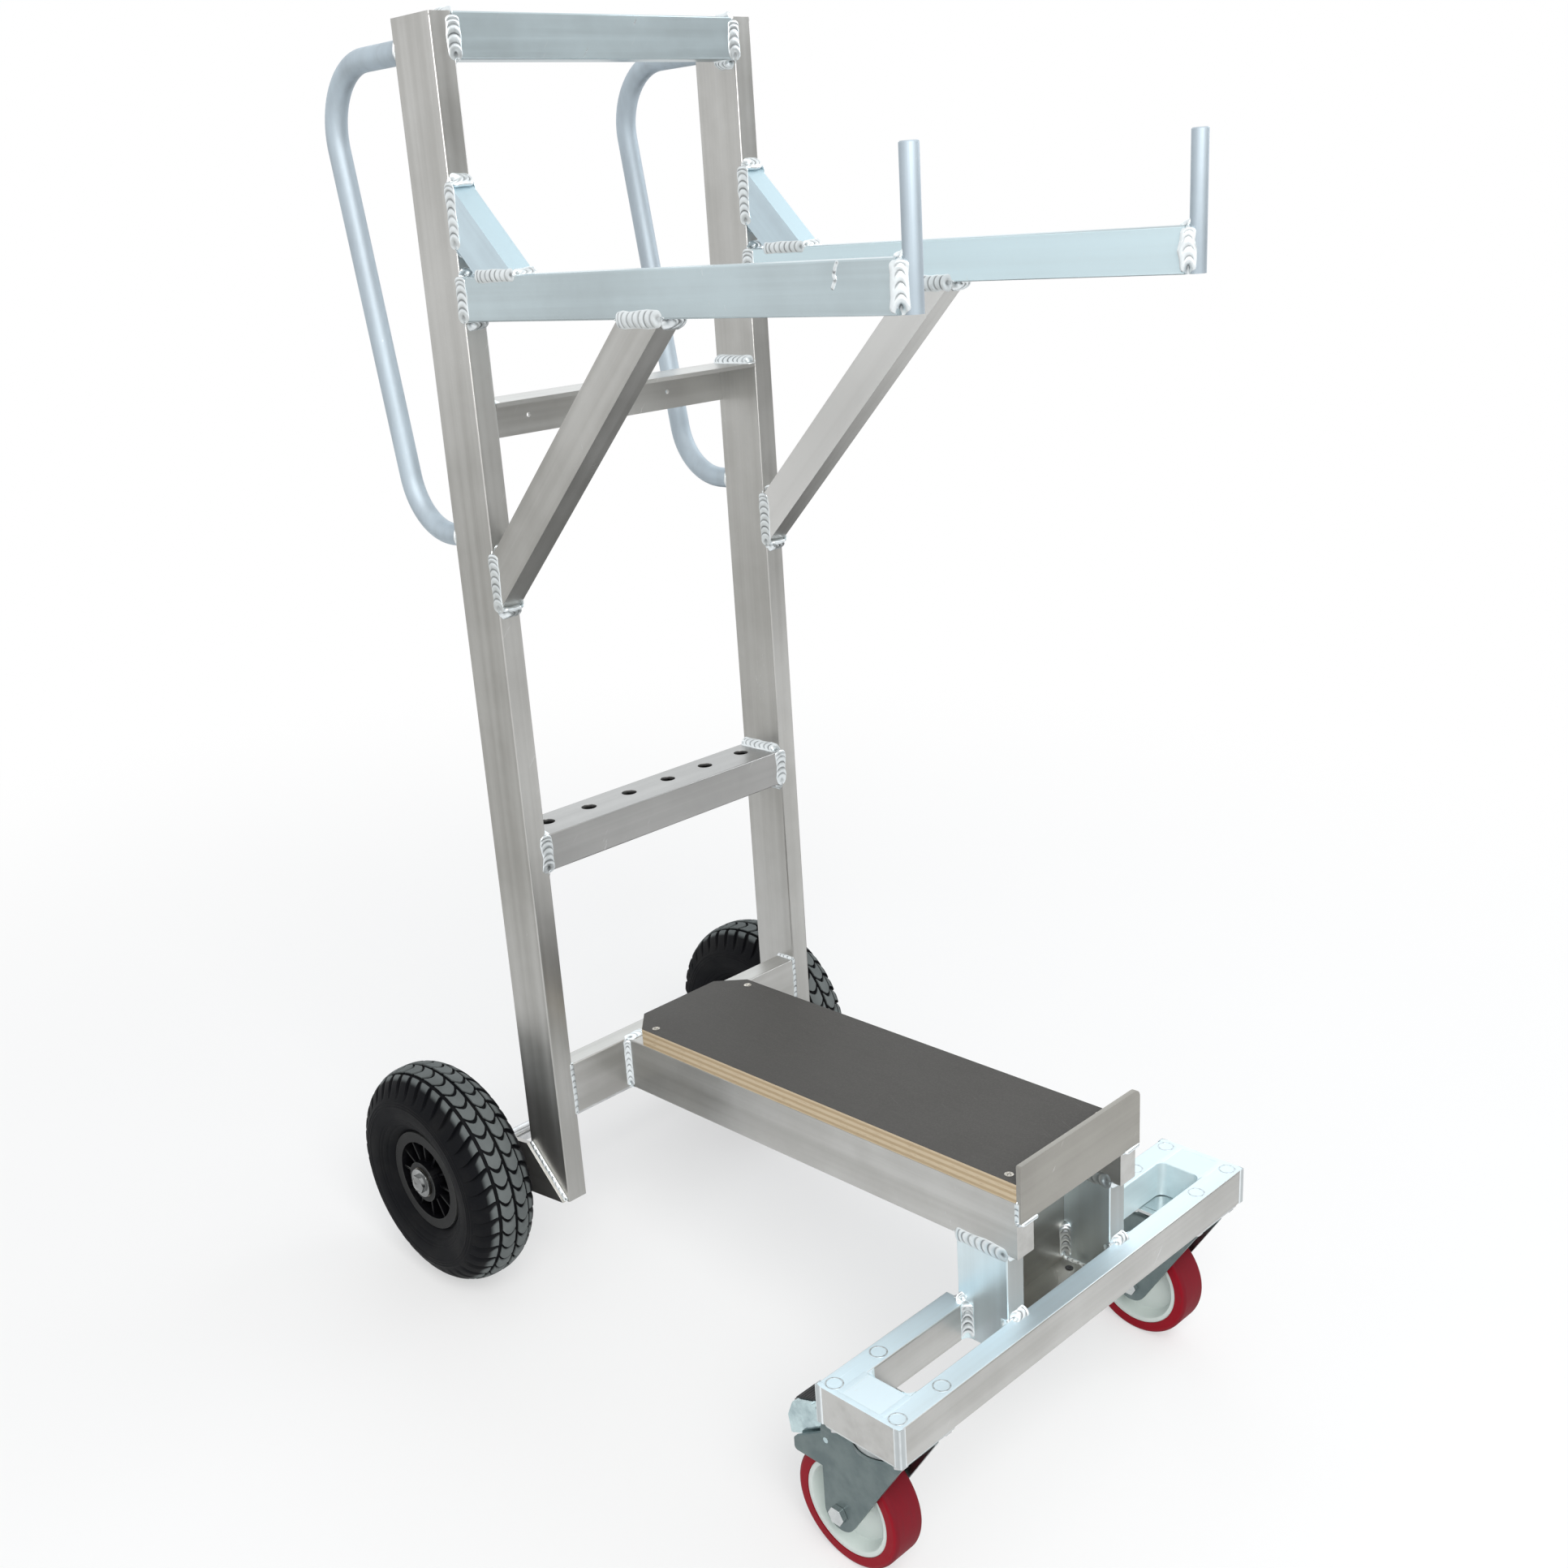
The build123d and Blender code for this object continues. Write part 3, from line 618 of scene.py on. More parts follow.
@dataclass(frozen=True)
class MillAluminium:
    """Bare drawn aluminium with die lines, dull oxide clouds and scratches.

    Faces that look one way, given in the cart's axes, can get another tone: painted light or shade for that
    side.
    """

    run: Run
    tone: Colour = (0.57, 0.57, 0.555)
    dull: Colour = (0.43, 0.427, 0.41)
    rough: float = 0.34
    # Faces that look the given way blend to this other tone, painted light or shade for how light falls
    # there
    ground: Colour | None = None
    way: Colour = (0.0, 0.0, 1.0)
    metal: float = 0.88
    scored: Colour = (0.74, 0.75, 0.76)

    def build(self, name: str) -> bpy.types.Material:
        """Make the material.

        Args:
            name: Name of the material.

        Returns:
            The material.
        """
        graph = Graph.material(name)
        place = graph.place()
        lean = CartAxes.from_frame().lean
        about_x, about_y = self.run.value
        grain = graph.turn(place, (lean + about_x, about_y, 0.0))
        lines = graph.noise(grain, (420.0, 420.0, 3.0), 5.0, 0.65)
        streaks = graph.noise(grain, (70.0, 70.0, 1.2), 3.0)
        clouds = graph.noise(place, 5.0, 5.0, 0.6)
        specks = graph.noise(place, 240.0, 3.0, 0.6)
        scuffs = graph.noise(graph.turn(place, (0.5, 0.9, 0.3)), (25.0, 900.0, 160.0), 2.0)
        scratch = scuffs.band(0.70, 0.74) * clouds.band(0.46, 0.62)
        worn = (clouds * 0.6 + streaks * 0.4).band(0.34, 0.64)
        colour = graph.blend(worn, self.dull, self.tone)
        rough = self.rough + clouds.swing(0.16) + streaks.swing(0.14) + specks.swing(0.06) - scratch * 0.1
        # Painted light or shade: faces that look the given way blend to the other tone
        if self.ground:
            own = graph.turn(graph.facing(), (lean, 0.0, 0.0))
            flat = graph.vector("DOT_PRODUCT", own, self.way, out="Value").band(0.85, 0.97)
            colour = graph.blend(flat * (0.75 + streaks * 0.4), colour, self.ground)
            rough = rough + flat * 0.24
        colour = graph.blend(scratch * 0.5, colour, self.scored)
        height = lines * 0.7 + streaks * 0.3 + scratch * -0.5 + specks * 0.12
        normal = graph.bump(height, 0.12 * MM, 0.55)
        return graph.surface(Base_Color=colour, Metallic=self.metal, Roughness=rough, Normal=normal)


@dataclass(frozen=True)
class WeldMetal:
    """Weld metal: a painted highlight on the brims and ripple crests, and painted shade in the valleys."""

    # The first colour is the painted highlight of brims and crests, the second the painted shade of the
    # valleys
    bright: Colour = (0.84, 0.89, 0.91)
    valley_shade: Colour = (0.10, 0.11, 0.115)

    def build(self, name: str) -> bpy.types.Material:
        """Make the material.

        Args:
            name: Name of the material.

        Returns:
            The material.
        """
        graph = Graph.material(name)
        place = graph.place()
        clouds = graph.noise(place, 120.0)
        grain = graph.noise(place, 1500.0, 3.0, 0.6)
        # The attribute read here carries the painted highlight and painted shade laid along each bead
        painted_light = graph.node("Attribute", {"attribute_name": "painted_light"}, out="Fac")
        return graph.surface(
            Base_Color=graph.blend(painted_light * (0.7 + clouds * 0.6), self.valley_shade, self.bright),
            Metallic=1.0,
            Roughness=0.26 + clouds * 0.2 + grain * 0.06,
            Normal=graph.bump(grain, 0.1 * MM, 0.5),
        )


@dataclass(frozen=True)
class PlatedSteel:
    """Zinc plate over pressed or turned steel, with a faint cast, dull patches and a swell in metres."""

    tone: Colour
    cast: Colour
    rough: float
    swell: float = 0.0
    grain: float = 0.04 * MM

    def build(self, name: str) -> bpy.types.Material:
        """Make the material.

        Args:
            name: Name of the material.

        Returns:
            The material.
        """
        graph = Graph.material(name)
        place = graph.place()
        clouds = graph.noise(place, 38.0, 5.0, 0.6)
        spangle = graph.node("TexVoronoi", {"feature": "F1"}, {"Vector": place, "Scale": 260.0}, "Color")
        height = graph.noise(place, 900.0, 3.0) * self.grain + graph.noise(place, 60.0, 1.0) * self.swell
        return graph.surface(
            Base_Color=graph.blend(clouds.band(0.32, 0.66), self.cast, self.tone),
            Metallic=1.0,
            Roughness=self.rough * (0.8 + clouds * 0.4 + graph.part(spangle, 0).swing(0.15)),
            Normal=graph.bump(height, 1.0),
        )


@dataclass(frozen=True)
class Rubber:
    """Tyre rubber: blue-black walls and grooves; tread tops greyed by road wear and a painted bluish
    highlight.

    The tread ends between two squared distances from the tyre's middle, and falls away by the camber.
    """

    wall: Colour = (0.0055, 0.006, 0.0075)
    # Tread tops: road wear together with a painted bluish highlight
    top: Colour = (0.17, 0.188, 0.188)
    dust: Colour = (0.013, 0.013, 0.013)
    camber: float = 8.75
    worn: tuple[float, float] = (0.6 * MM, 2.2 * MM)
    ends: tuple[float, float] = (0.0009, 0.0012)

    def build(self, name: str, middle: Vector, radius: float) -> bpy.types.Material:
        """Make the material.

        Args:
            name: Name of the material.
            middle: Middle of the wheel.
            radius: Radius of the tread's crown.

        Returns:
            The material.
        """
        graph = Graph.material(name)
        place = graph.place()
        aside = graph.part(place, 0) - middle.x
        apart = aside * aside
        sunk = radius - apart * self.camber - graph.radius(place, middle)
        clouds = graph.noise(place, 30.0)
        grain = graph.noise(place, 700.0, 4.0, 0.65)
        tread = (1.0 - sunk.band(*self.worn)) * (1.0 - apart.band(*self.ends))
        colour = graph.blend(clouds.band(0.4, 0.75) * 0.6, self.wall, self.dust)
        return graph.surface(
            Base_Color=graph.blend(tread * (0.5 + clouds * 0.6), colour, self.top),
            Roughness=0.56 + grain * 0.16 - clouds * 0.1,
            Specular_IOR_Level=0.08,
            Normal=graph.bump(grain, 0.2 * MM, 0.6),
        )


@dataclass(frozen=True)
class Moulded:
    """Moulded plastic or rubber with a fine sparked grain, rub marks and a painted highlight on sharp edges.
    """

    tone: Colour
    rub_and_edge_highlight: Colour
    rough: float
    gloss: float = 0.5

    def build(self, name: str) -> bpy.types.Material:
        """Make the material.

        Args:
            name: Name of the material.

        Returns:
            The material.
        """
        graph = Graph.material(name)
        place = graph.place()
        clouds = graph.noise(place, 26.0, 5.0, 0.6)
        grain = graph.noise(place, 1100.0, 2.0)
        # Painted highlight: sharp convex edges are lightened to the second colour, along with real rub marks
        edges = graph.node("NewGeometry", out="Pointiness").band(0.52, 0.57)
        worn = edges.math("MAXIMUM", edges, clouds.band(0.5, 0.74) * 0.06)
        return graph.surface(
            Base_Color=graph.blend(worn, self.tone, self.rub_and_edge_highlight),
            Specular_IOR_Level=self.gloss,
            Roughness=self.rough + clouds.swing(0.18) + grain.swing(0.05),
            Normal=graph.bump(grain, 0.08 * MM, 0.5),
        )


@dataclass(frozen=True)
class Urethane:
    """Cast urethane tread: deep red sides, a paler scuffed running face and some grime."""

    side: Colour = (0.28, 0.003, 0.013)
    face: Colour = (0.17, 0.012, 0.02)
    grime: Colour = (0.10, 0.03, 0.03)
    depth: tuple[float, float] = (4 * MM, 0.5 * MM)

    def build(self, name: str, axle: Vector, radius: float) -> bpy.types.Material:
        """Make the material.

        Args:
            name: Name of the material.
            axle: Middle of the caster wheel.
            radius: Its outer radius.

        Returns:
            The material.
        """
        graph = Graph.material(name)
        place = graph.place()
        clouds = graph.noise(place, 45.0, 5.0, 0.6)
        scuffs = graph.noise(place, (500.0, 40.0, 40.0), 3.0)
        worn = graph.radius(place, axle).band(*(radius - depth for depth in self.depth))
        colour = graph.blend(worn * (0.55 + scuffs * 0.6), self.side, self.face)
        return graph.surface(
            Base_Color=graph.blend(clouds.band(0.56, 0.8) * 0.35, colour, self.grime),
            Roughness=0.42 + worn * 0.2 + clouds.swing(0.12),
            Specular_IOR_Level=0.12,
            Normal=graph.bump(scuffs, 0.12 * MM, 0.4),
        )


@dataclass(frozen=True)
class FilmPly:
    """Birch board with a dark resin film on its faces and bare laminations on its edges."""

    film: Colour = (0.056, 0.054, 0.051)
    pale: Colour = (0.090, 0.086, 0.080)
    scored: Colour = (0.2, 0.2, 0.2)
    birch: Colour = (0.60, 0.49, 0.34)
    glue: Colour = (0.46, 0.35, 0.22)
    pore: Colour = (0.34, 0.24, 0.14)
    plies: int = 6

    def build(self, name: str, axes: CartAxes, board: Block) -> bpy.types.Material:
        """Make the material.

        Args:
            name: Name of the material.
            axes: The cart's axes.
            board: The deck board.

        Returns:
            The material.
        """
        graph = Graph.material(name)
        upright = (axes.lean, 0.0, 0.0)
        own = graph.turn(graph.vector("SUBTRACT", graph.place(), tuple(axes.origin)), upright)
        rise = graph.part(graph.turn(graph.facing(), upright), 2)
        faced = (rise * rise).band(0.45, 0.55)
        bare = 1.0 - faced
        thick = float(board.high[2] - board.low[2])
        height = (graph.part(own, 2) - float(board.low[2])) * (self.plies / thick)
        grain = graph.noise(own, (60.0, 60.0, 1400.0))
        ply = height.math("PINGPONG", height + grain * 0.25, 1.0)
        pores = graph.noise(own, (900.0, 120.0, 900.0), 3.0)
        edge = graph.blend(ply.band(0.35, 0.75), self.birch, self.glue)
        edge = graph.blend(pores.band(0.55, 0.7) * 0.4, edge, self.pore)
        clouds = graph.noise(own, 7.0, 5.0, 0.6)
        print_grain = graph.noise(own, (260.0, 26.0, 260.0), 4.0, 0.6)
        specks = graph.noise(own, 620.0, 3.0, 0.7)
        scuffs = graph.noise(graph.turn(own, (0.0, 0.0, 0.4)), (900.0, 22.0, 50.0), 2.0)
        scratch = scuffs.band(0.68, 0.74) * clouds.band(0.42, 0.62)
        film = graph.blend(print_grain * 0.4 + specks.band(0.4, 0.75) * 0.5, self.film, self.pale)
        film = graph.blend(scratch * 0.35, film, self.scored)
        return graph.surface(
            Base_Color=graph.blend(faced, edge, film),
            Roughness=faced * (0.58 + clouds.swing(0.2) + scratch * 0.1) + bare * 0.78,
            Specular_IOR_Level=0.32,
            Normal=graph.bump(specks * 0.6 + print_grain * 0.4 + bare * pores, 0.2 * MM, 0.45),
        )


# Tone and dull tone with a painted blue sky reflection for some tubes, two ways that a face with a painted
# tone can look, and the rubber of small trim
SKY_PAINTED_TONES = ((0.56, 0.655, 0.69), (0.45, 0.52, 0.545))
LEFTWARD = (-1.0, 0.0, 0.0)
FORWARD = (0.0, -1.0, 0.0)
TRIM_RUBBER = Moulded((0.006, 0.006, 0.007), (0.03, 0.03, 0.032), 0.45)


@dataclass
class Welder:
    """Lays weld beads whose ripples differ a little.

    The pitch of a ripple is in metres and its drift aside in mm. The rest are counts or shares.
    """

    axes: CartAxes
    draw: random.Random
    pitch: float = 7.4 * MM
    fewest: int = 3
    steps: int = 8
    swell: tuple[float, float] = (-0.3, 0.2)
    drift: float = 1.2
    start: float = 0.06
    fullness: float = 0.7
    # Painted light of the ripples: the range of painted shade in each valley, where the lobe leaves it, how
    # fast it climbs, and the painted highlight at the crest
    valley_shade: tuple[float, float] = (0.05, 0.6)
    valley: float = 0.34
    climb: float = 0.36
    crest_highlight: float = 0.95
    taper: float = 0.7
    blunt: float = 0.97
    brim: float = 0.5
    flank: float = 0.6
    root: float = 0.6

    def track(self, path: Points, facing: Points, closed: bool) -> tuple[Points, Points, Points, Points]:
        """Step along a path.

        Args:
            path: Corner points of the path.
            facing: The way the bead faces, at each point or for all.
            closed: Whether the path is a ring.

        Returns:
            For each step how far it has gone, its place, the way it faces and the way it runs.
        """
        facing = np.broadcast_to(np.asarray(facing, float), path.shape)
        if closed:
            path, facing = (np.vstack([rows, rows[:1]]) for rows in (path, facing))
        gone = stations(path)
        total = max(self.fewest, round(gone[-1] / self.pitch)) * self.steps
        at = np.linspace(0.0, gone[-1], total + (0 if closed else 1), endpoint=not closed)
        line = along(path, gone, at)
        run = np.roll(line, -1, axis=0) - np.roll(line, 1, axis=0) if closed else np.gradient(line, axis=0)
        return at, line, unit(along(facing, gone, at)), unit(run)

    def bead(self, draft: Draft, path: Points, facing: Points, kind: Seam, closed: bool = False) -> None:
        """Sweep a rippled bead along a path.

        Args:
            draft: Mesh to add it to.
            path: Corner points of the path in the cart's axes.
            facing: The way the bead faces, at each point or for all.
            kind: How the pieces meet.
            closed: Whether the path is a ring.
        """
        at, line, out, run = self.track(path, facing, closed)
        length = at[-1] + at[1] if closed else at[-1]
        half, rise, lift, depth = kind.sizes()
        scales = len(at) // self.steps
        mids = (np.arange(scales) + 0.5) * length / scales
        sizes = np.interp(at, mids, [1.0 + self.draw.uniform(*self.swell) * depth for _ in mids])
        drift = np.interp(at, mids, [self.draw.uniform(-self.drift, self.drift) * depth * MM for _ in mids])
        phase = (np.arange(len(at)) % self.steps) / self.steps
        lobe = np.sin(np.pi * (self.start + (1 - self.start) * phase)) ** self.fullness
        # Painted shade: how dark each ripple's valley is painted
        dark = np.repeat([self.draw.uniform(*self.valley_shade) for _ in mids], self.steps)
        dark = np.append(dark, dark[-1:])[:len(at)]
        ends, lead = np.ones(len(at)), np.ones(len(at))
        if not closed:
            short = np.clip(1.0 - np.minimum(at, length - at) / (self.taper * half), 0.0, self.blunt)
            ends = np.sqrt(1.0 - short**2)
            lead = np.clip((length - at) / (2 * self.pitch), 0.0, 1.0)
        turns = round_turns(ROUND)
        wide, high = np.cos(turns), np.sin(turns)
        brim = kind.brim()
        inner = np.clip((np.maximum(high, 0.0) - brim) / (1.0 - brim), 0.0, 1.0)
        crown = np.clip(inner / self.brim - self.flank, 0.0, 1.0)
        crest = rise * sizes[:, None] * (1.0 + depth * (lobe - 1.0)[:, None] * crown)
        rise_by = np.where(high > 0, crest, self.root * rise + lift) * high + lift
        rings = line[:, None, :]
        for way, reach in (
            (np.cross(run, out), (half * sizes * ends)[:, None] * wide + drift[:, None]),
            (out, rise_by * ends[:, None]),
            (run, min(self.pitch, half) * lead[:, None] * inner),
        ):
            rings = rings + way[:, None, :] * reach[:, :, None]
        # Painted highlight on the brims and ripple crests, painted shade in the ripple valleys
        gloss = np.clip((lobe - self.valley) / self.climb, dark, self.crest_highlight)
        draft.rings(self.axes.out(rings), closed, np.maximum(1.0 - crown, gloss[:, None]))


@dataclass
class WeldedFrame:
    """Tubes, bars and plates of the frame, with their weld beads.

    Lines of points are in mm: the stray run of weld metal back and down from the end of the left arm, the
    band round a corner of the beam out, along and with its painted highlight and painted shade, and the
    grommet out and up from its hole's edge.
    """

    axes: CartAxes
    bead_seed: int = 11
    ground_seed: int = 5
    skin: float = 0.3 * MM
    lip_out: float = 2.5 * MM
    peg_share: float = 0.9
    slot_round: float = 9.0 * MM
    slot_points: int = 9
    band_over: float = 0.2 * MM
    hole_clear: float = 5 * MM
    stitched: str = "post_web"
    stitch: tuple[float, float] = (0.05, 0.42)
    stray: tuple[tuple[float, float], ...] = (
        (55.4, 0.4), (58.1, 5), (60.1, 10.5), (58.7, 14), (60.5, 17.4), (62.4, 20.8)
    )
    # The band's third column is painted light: a painted highlight on the raised edges, painted shade
    # between
    band: tuple[tuple[float, float, float], ...] = (
        (0.0, -7.5, 1.0), (0.5, -7.2, 1.0), (0.75, -6.5, 1.0),
        (0.45, -5.3, 0.35), (0.5, -1.5, 0.25), (0.45, -0.4, 0.6),
    )
    band_tip: tuple[float, float, float] = (0.2, 0.2, 0.8)
    band_root: tuple[float, float, float] = (-1.0, -1.0, 0.0)
    collar: tuple[tuple[float, float], ...] = (
        (-0.05, -2.0), (-0.05, 0.0), (1.4, 0.0), (1.6, 0.7),
        (0.9, 1.2), (-0.7, 1.2), (-1.3, 0.5), (-1.3, -2.0),
    )
    joints: tuple[tuple[str, str, Seam], ...] = (
        ("upright", "top_crossbar", Seam.CORNER),
        ("upright", "hole_bar", Seam.CORNER),
        ("upright", "base_crossbar", Seam.SLIM),
        ("upright", "arm", Seam.CORNER),
        ("upright", "gusset", Seam.CORNER),
        ("upright", "brace", Seam.CORNER),
        ("arm", "gusset", Seam.FOOT),
        ("arm", "brace", Seam.CORNER),
        ("rail", "base_crossbar", Seam.FILLET),
        ("rail", "lip_plate", Seam.SLIM),
        ("rail", "post", Seam.CORNER),
        ("rail", "deck_bearers", Seam.SLIM),
        ("post", "post_web", Seam.CORNER),
        ("post", "well_floor", Seam.SLIM),
        ("post", "beam_front_rail", Seam.CORNER),
        ("post", "beam_rear_rail", Seam.CORNER),
    )
    coats: tuple[Coat, ...] = (
        Coat("mill_up", MillAluminium(Run.UP), ("left_upright", "right_upright", "upright_caps")),
        Coat(
            "mill_along",
            MillAluminium(Run.ALONG),
            ("left_rail", "right_rail", "left_axle_plate", "right_axle_plate"),
        ),
        Coat("mill_across", MillAluminium(Run.ACROSS), ("base_crossbar", "deck_bearers"), ("mid_angle",)),
        Coat("mill_rising", MillAluminium(Run.RISING), ("left_brace",)),
        # Painted blue sky reflection in the tones of the left arm and the top crossbar
        Coat("sky_painted_along", MillAluminium(Run.ALONG, *SKY_PAINTED_TONES), ("left_arm",)),
        Coat("sky_painted_across", MillAluminium(Run.ACROSS, *SKY_PAINTED_TONES), ("top_crossbar",)),
        # Painted sky reflection in the gussets' blue tone, and a little painted shade on their sloping tops
        Coat(
            "sky_painted_stays",
            MillAluminium(
                Run.FALLING,
                (0.62, 0.75, 0.82),
                (0.50, 0.60, 0.66),
                ground=(0.56, 0.70, 0.76),
                way=(0.0, -0.707, 0.707),
            ),
            ("left_gusset", "right_gusset"),
        ),
        # Painted sky reflection in the right arm's tone, and painted light on its left face
        Coat(
            "sky_and_side_painted_along",
            MillAluminium(Run.ALONG, *SKY_PAINTED_TONES, ground=(0.72, 0.86, 0.91), way=LEFTWARD),
            ("right_arm",),
        ),
        # Painted light on the right brace's left face
        Coat(
            "side_painted_rising",
            MillAluminium(Run.RISING, ground=(0.74, 0.74, 0.73), way=LEFTWARD),
            ("right_brace",),
        ),
        # Painted sky reflection: the beam's right rear rail and crosspieces pale blue and barely metallic,
        # with paler tops
        Coat(
            "sky_painted_slot_across",
            MillAluminium(
                Run.ACROSS, (0.78, 0.93, 0.97), (0.68, 0.82, 0.86), ground=(0.78, 0.92, 0.99), metal=0.3
            ),
            ("right_beam_rear_rail", "beam_crosspieces"),
        ),
        # Painted sky reflection in the posts' pale blue tone, and painted shade on their front faces
        Coat(
            "sky_and_front_painted_up",
            MillAluminium(
                Run.UP, (0.76, 0.87, 0.91), (0.64, 0.73, 0.76), ground=(0.44, 0.455, 0.45), way=FORWARD
            ),
            ("left_post", "right_post"),
        ),
        Coat(
            "grey_across",
            MillAluminium(Run.ACROSS, (0.43, 0.43, 0.425), (0.34, 0.34, 0.335)),
            ("hole_bar",),
        ),
        # Painted sky reflection: pale blue top faces on the beam's rails, plates and bosses
        Coat(
            "mill_sky_painted_top",
            MillAluminium(Run.ACROSS, ground=(0.78, 0.92, 0.99)),
            ("beam_front_rail", "left_beam_rear_rail", "beam_end_plates", "bolt_bosses"),
        ),
        # Painted blue sky reflection in the tone of the pegs and handles
        Coat(
            "sky_painted_round",
            MillAluminium(Run.UP, (0.53, 0.61, 0.67), (0.43, 0.49, 0.54), 0.62),
            ("left_peg", "right_peg"),
            ("left_handle", "right_handle"),
        ),
        Coat(
            "mill_plate",
            MillAluminium(Run.ACROSS, (0.40, 0.39, 0.36), (0.31, 0.30, 0.275), 0.42),
            ("lip_plate", "post_web"),
            ("well_floor",),
        ),
    )
    finishes: dict[str, bpy.types.Material] = field(default_factory=dict)

    def dress(self) -> None:
        """Give each tube, bar and plate its finish."""
        self.finishes = {coat.name: coat.lay() for coat in self.coats}

    def solid(self, node: str) -> Block:
        """Return the solid of a node that has only one."""
        return blocks(self.axes, node)[0]

    def named(self, piece: str, side: str) -> str:
        """Return the node of a piece, which has one on each side or one in all."""
        return piece if piece in frame["nodes"] else f"{side}_{piece}"

    def group(self, pair: str) -> str:
        """Return the piece that the beads between a pair of nodes belong to."""
        if "beam" in pair or "post" in pair:
            return "beam_welds"
        return "deck_welds" if "rail" in pair or "base" in pair else "upper_welds"

    def buried(self, solids: list[Block], point: Points) -> bool:
        """Tell whether a point lies inside any of the solids."""
        inside = (np.minimum(point - block.low, block.high - point) for block in solids)
        return any(np.all(depth > self.skin) for depth in inside)

    def weld(self) -> None:
        """Lay the beads, grouped by the part of the frame that they hold."""
        welder = Welder(self.axes, random.Random(self.bead_seed))
        groups = {name: Draft() for name in ("upper_welds", "deck_welds", "beam_welds")}
        lays = {name: partial(welder.bead, draft) for name, draft in groups.items()}
        pairs = [
            (self.named(first, side), self.named(second, side), kind)
            for side, _ in SIDES
            for first, second, kind in self.joints
        ]
        solids = {name: blocks(self.axes, name) for *pair, _ in pairs for name in pair}
        straight = [name for name in solids if not name.endswith(("gusset", "brace"))]
        square = [block for name in straight for block in solids[name]]
        for first, second, seam in pairs:
            faces = [face for a, b in product(solids[first], solids[second]) for face in a.meetings(b)]
            for start, end, facing, corner in (edge for face in faces for edge in face.edges()):
                kind = seam if corner else seam.flush()
                if self.buried(square, (start + end) / 2 + facing * kind.sizes()[1]):
                    continue
                if second == self.stitched:
                    start, end = (start + (end - start) * share for share in self.stitch)
                lays[self.group(first + second)](np.array([start, end]), facing, kind)
        for side, _ in SIDES:
            self.handle_welds(lays["upper_welds"], side)
            self.peg_welds(lays["upper_welds"], side)
        self.angle_welds(lays["upper_welds"])
        self.spatter(lays["upper_welds"])
        self.lip_welds(lays["deck_welds"])
        self.axle_plate_welds(lays["deck_welds"])
        finish = WeldMetal().build("weld_metal")
        for name, draft in groups.items():
            draft.piece(name, "frame", "tube_aluminium", finish)

    def handle_welds(self, lay: Lay, side: str) -> None:
        """Lay the rings round the ends of a handle.

        Args:
            lay: Lays a bead along a path.
            side: Side of the handle.
        """
        ends = self.solid(f"{side}_handle").at(1, self.solid(f"{side}_upright").high[1])
        split = ends[:, 2].mean()
        for end in (ends[ends[:, 2] > split], ends[ends[:, 2] < split]):
            low, high = end.min(0), end.max(0)
            path, out = circle((low + high) / 2, ACROSS, UP, (high[2] - low[2]) / 2)
            lay(path, out + BACK, Seam.SLIM, closed=True)

    def peg_welds(self, lay: Lay, side: str) -> None:
        """Lay the beads beside and on top of a peg's foot.

        Args:
            lay: Lays a bead along a path.
            side: Side of the peg.
        """
        arm, peg = self.solid(f"{side}_arm"), self.solid(f"{side}_peg")
        front, top = arm.low[1], arm.high[2]
        for sign in (-1, 1):
            x = peg.middle[0] + sign * (peg.high[0] - peg.low[0]) / 2 * self.peg_share
            lay(np.array([[x, front, arm.low[2]], [x, front, top]]), sign * ACROSS - 0.8 * BACK, Seam.CORNER)
        path = np.array([[x, front + MM, top] for x in (peg.low[0], peg.high[0])])
        lay(path, 0.5 * BACK + UP, Seam.CORNER)

    def angle_welds(self, lay: Lay) -> None:
        """Lay the beads at the ends of the angle between the uprights.

        Args:
            lay: Lays a bead along a path.
        """
        angle = self.solid("mid_angle")
        (left, front, bottom), (right, rear, top) = angle.low, angle.high
        for sign, x in ((1, left), (-1, right)):
            lay(np.array([[x, front, top], [x, rear, top]]), sign * ACROSS + UP, Seam.CORNER)
            lay(np.array([[x, rear, bottom], [x, rear, top]]), BACK, Seam.FLUSH)

    def spatter(self, lay: Lay) -> None:
        """Draw the stray run of weld metal on the outside of the left arm.

        Args:
            lay: Lays a bead along a path.
        """
        arm = self.solid("left_arm")
        path = [[arm.low[0], arm.low[1] + back * MM, arm.high[2] - drop * MM] for back, drop in self.stray]
        lay(np.array(path), -ACROSS, Seam.SPATTER)

    def lip_welds(self, lay: Lay) -> None:
        """Lay the bead under the lip on the front end of each rail.

        Args:
            lay: Lays a bead along a path.
        """
        lip = self.solid("lip_plate")
        for side, _ in SIDES:
            rail = self.solid(f"{side}_rail")
            y, z = rail.low[1] - self.lip_out, lip.low[2] - MM
            lay(np.array([[x, y, z] for x in (rail.low[0], rail.high[0])]), -0.5 * BACK - UP, Seam.LEDGE)

    def axle_plate_welds(self, lay: Lay) -> None:
        """Lay the bead along the sloping front edge of each axle plate.

        Args:
            lay: Lays a bead along a path.
        """
        for side, sign in SIDES:
            plate, upright = self.solid(f"{side}_axle_plate"), self.solid(f"{side}_upright")
            face = upright.low[0] if sign < 0 else upright.high[0]
            foot = np.array([face, plate.at(2, upright.low[2], MM)[:, 1].min(), upright.low[2]])
            rise = (upright.high[1] - foot[1]) * (BACK + UP)
            lay(np.array([foot, foot + rise]), sign * ACROSS + 0.7 * (UP - BACK), Seam.SLIM)

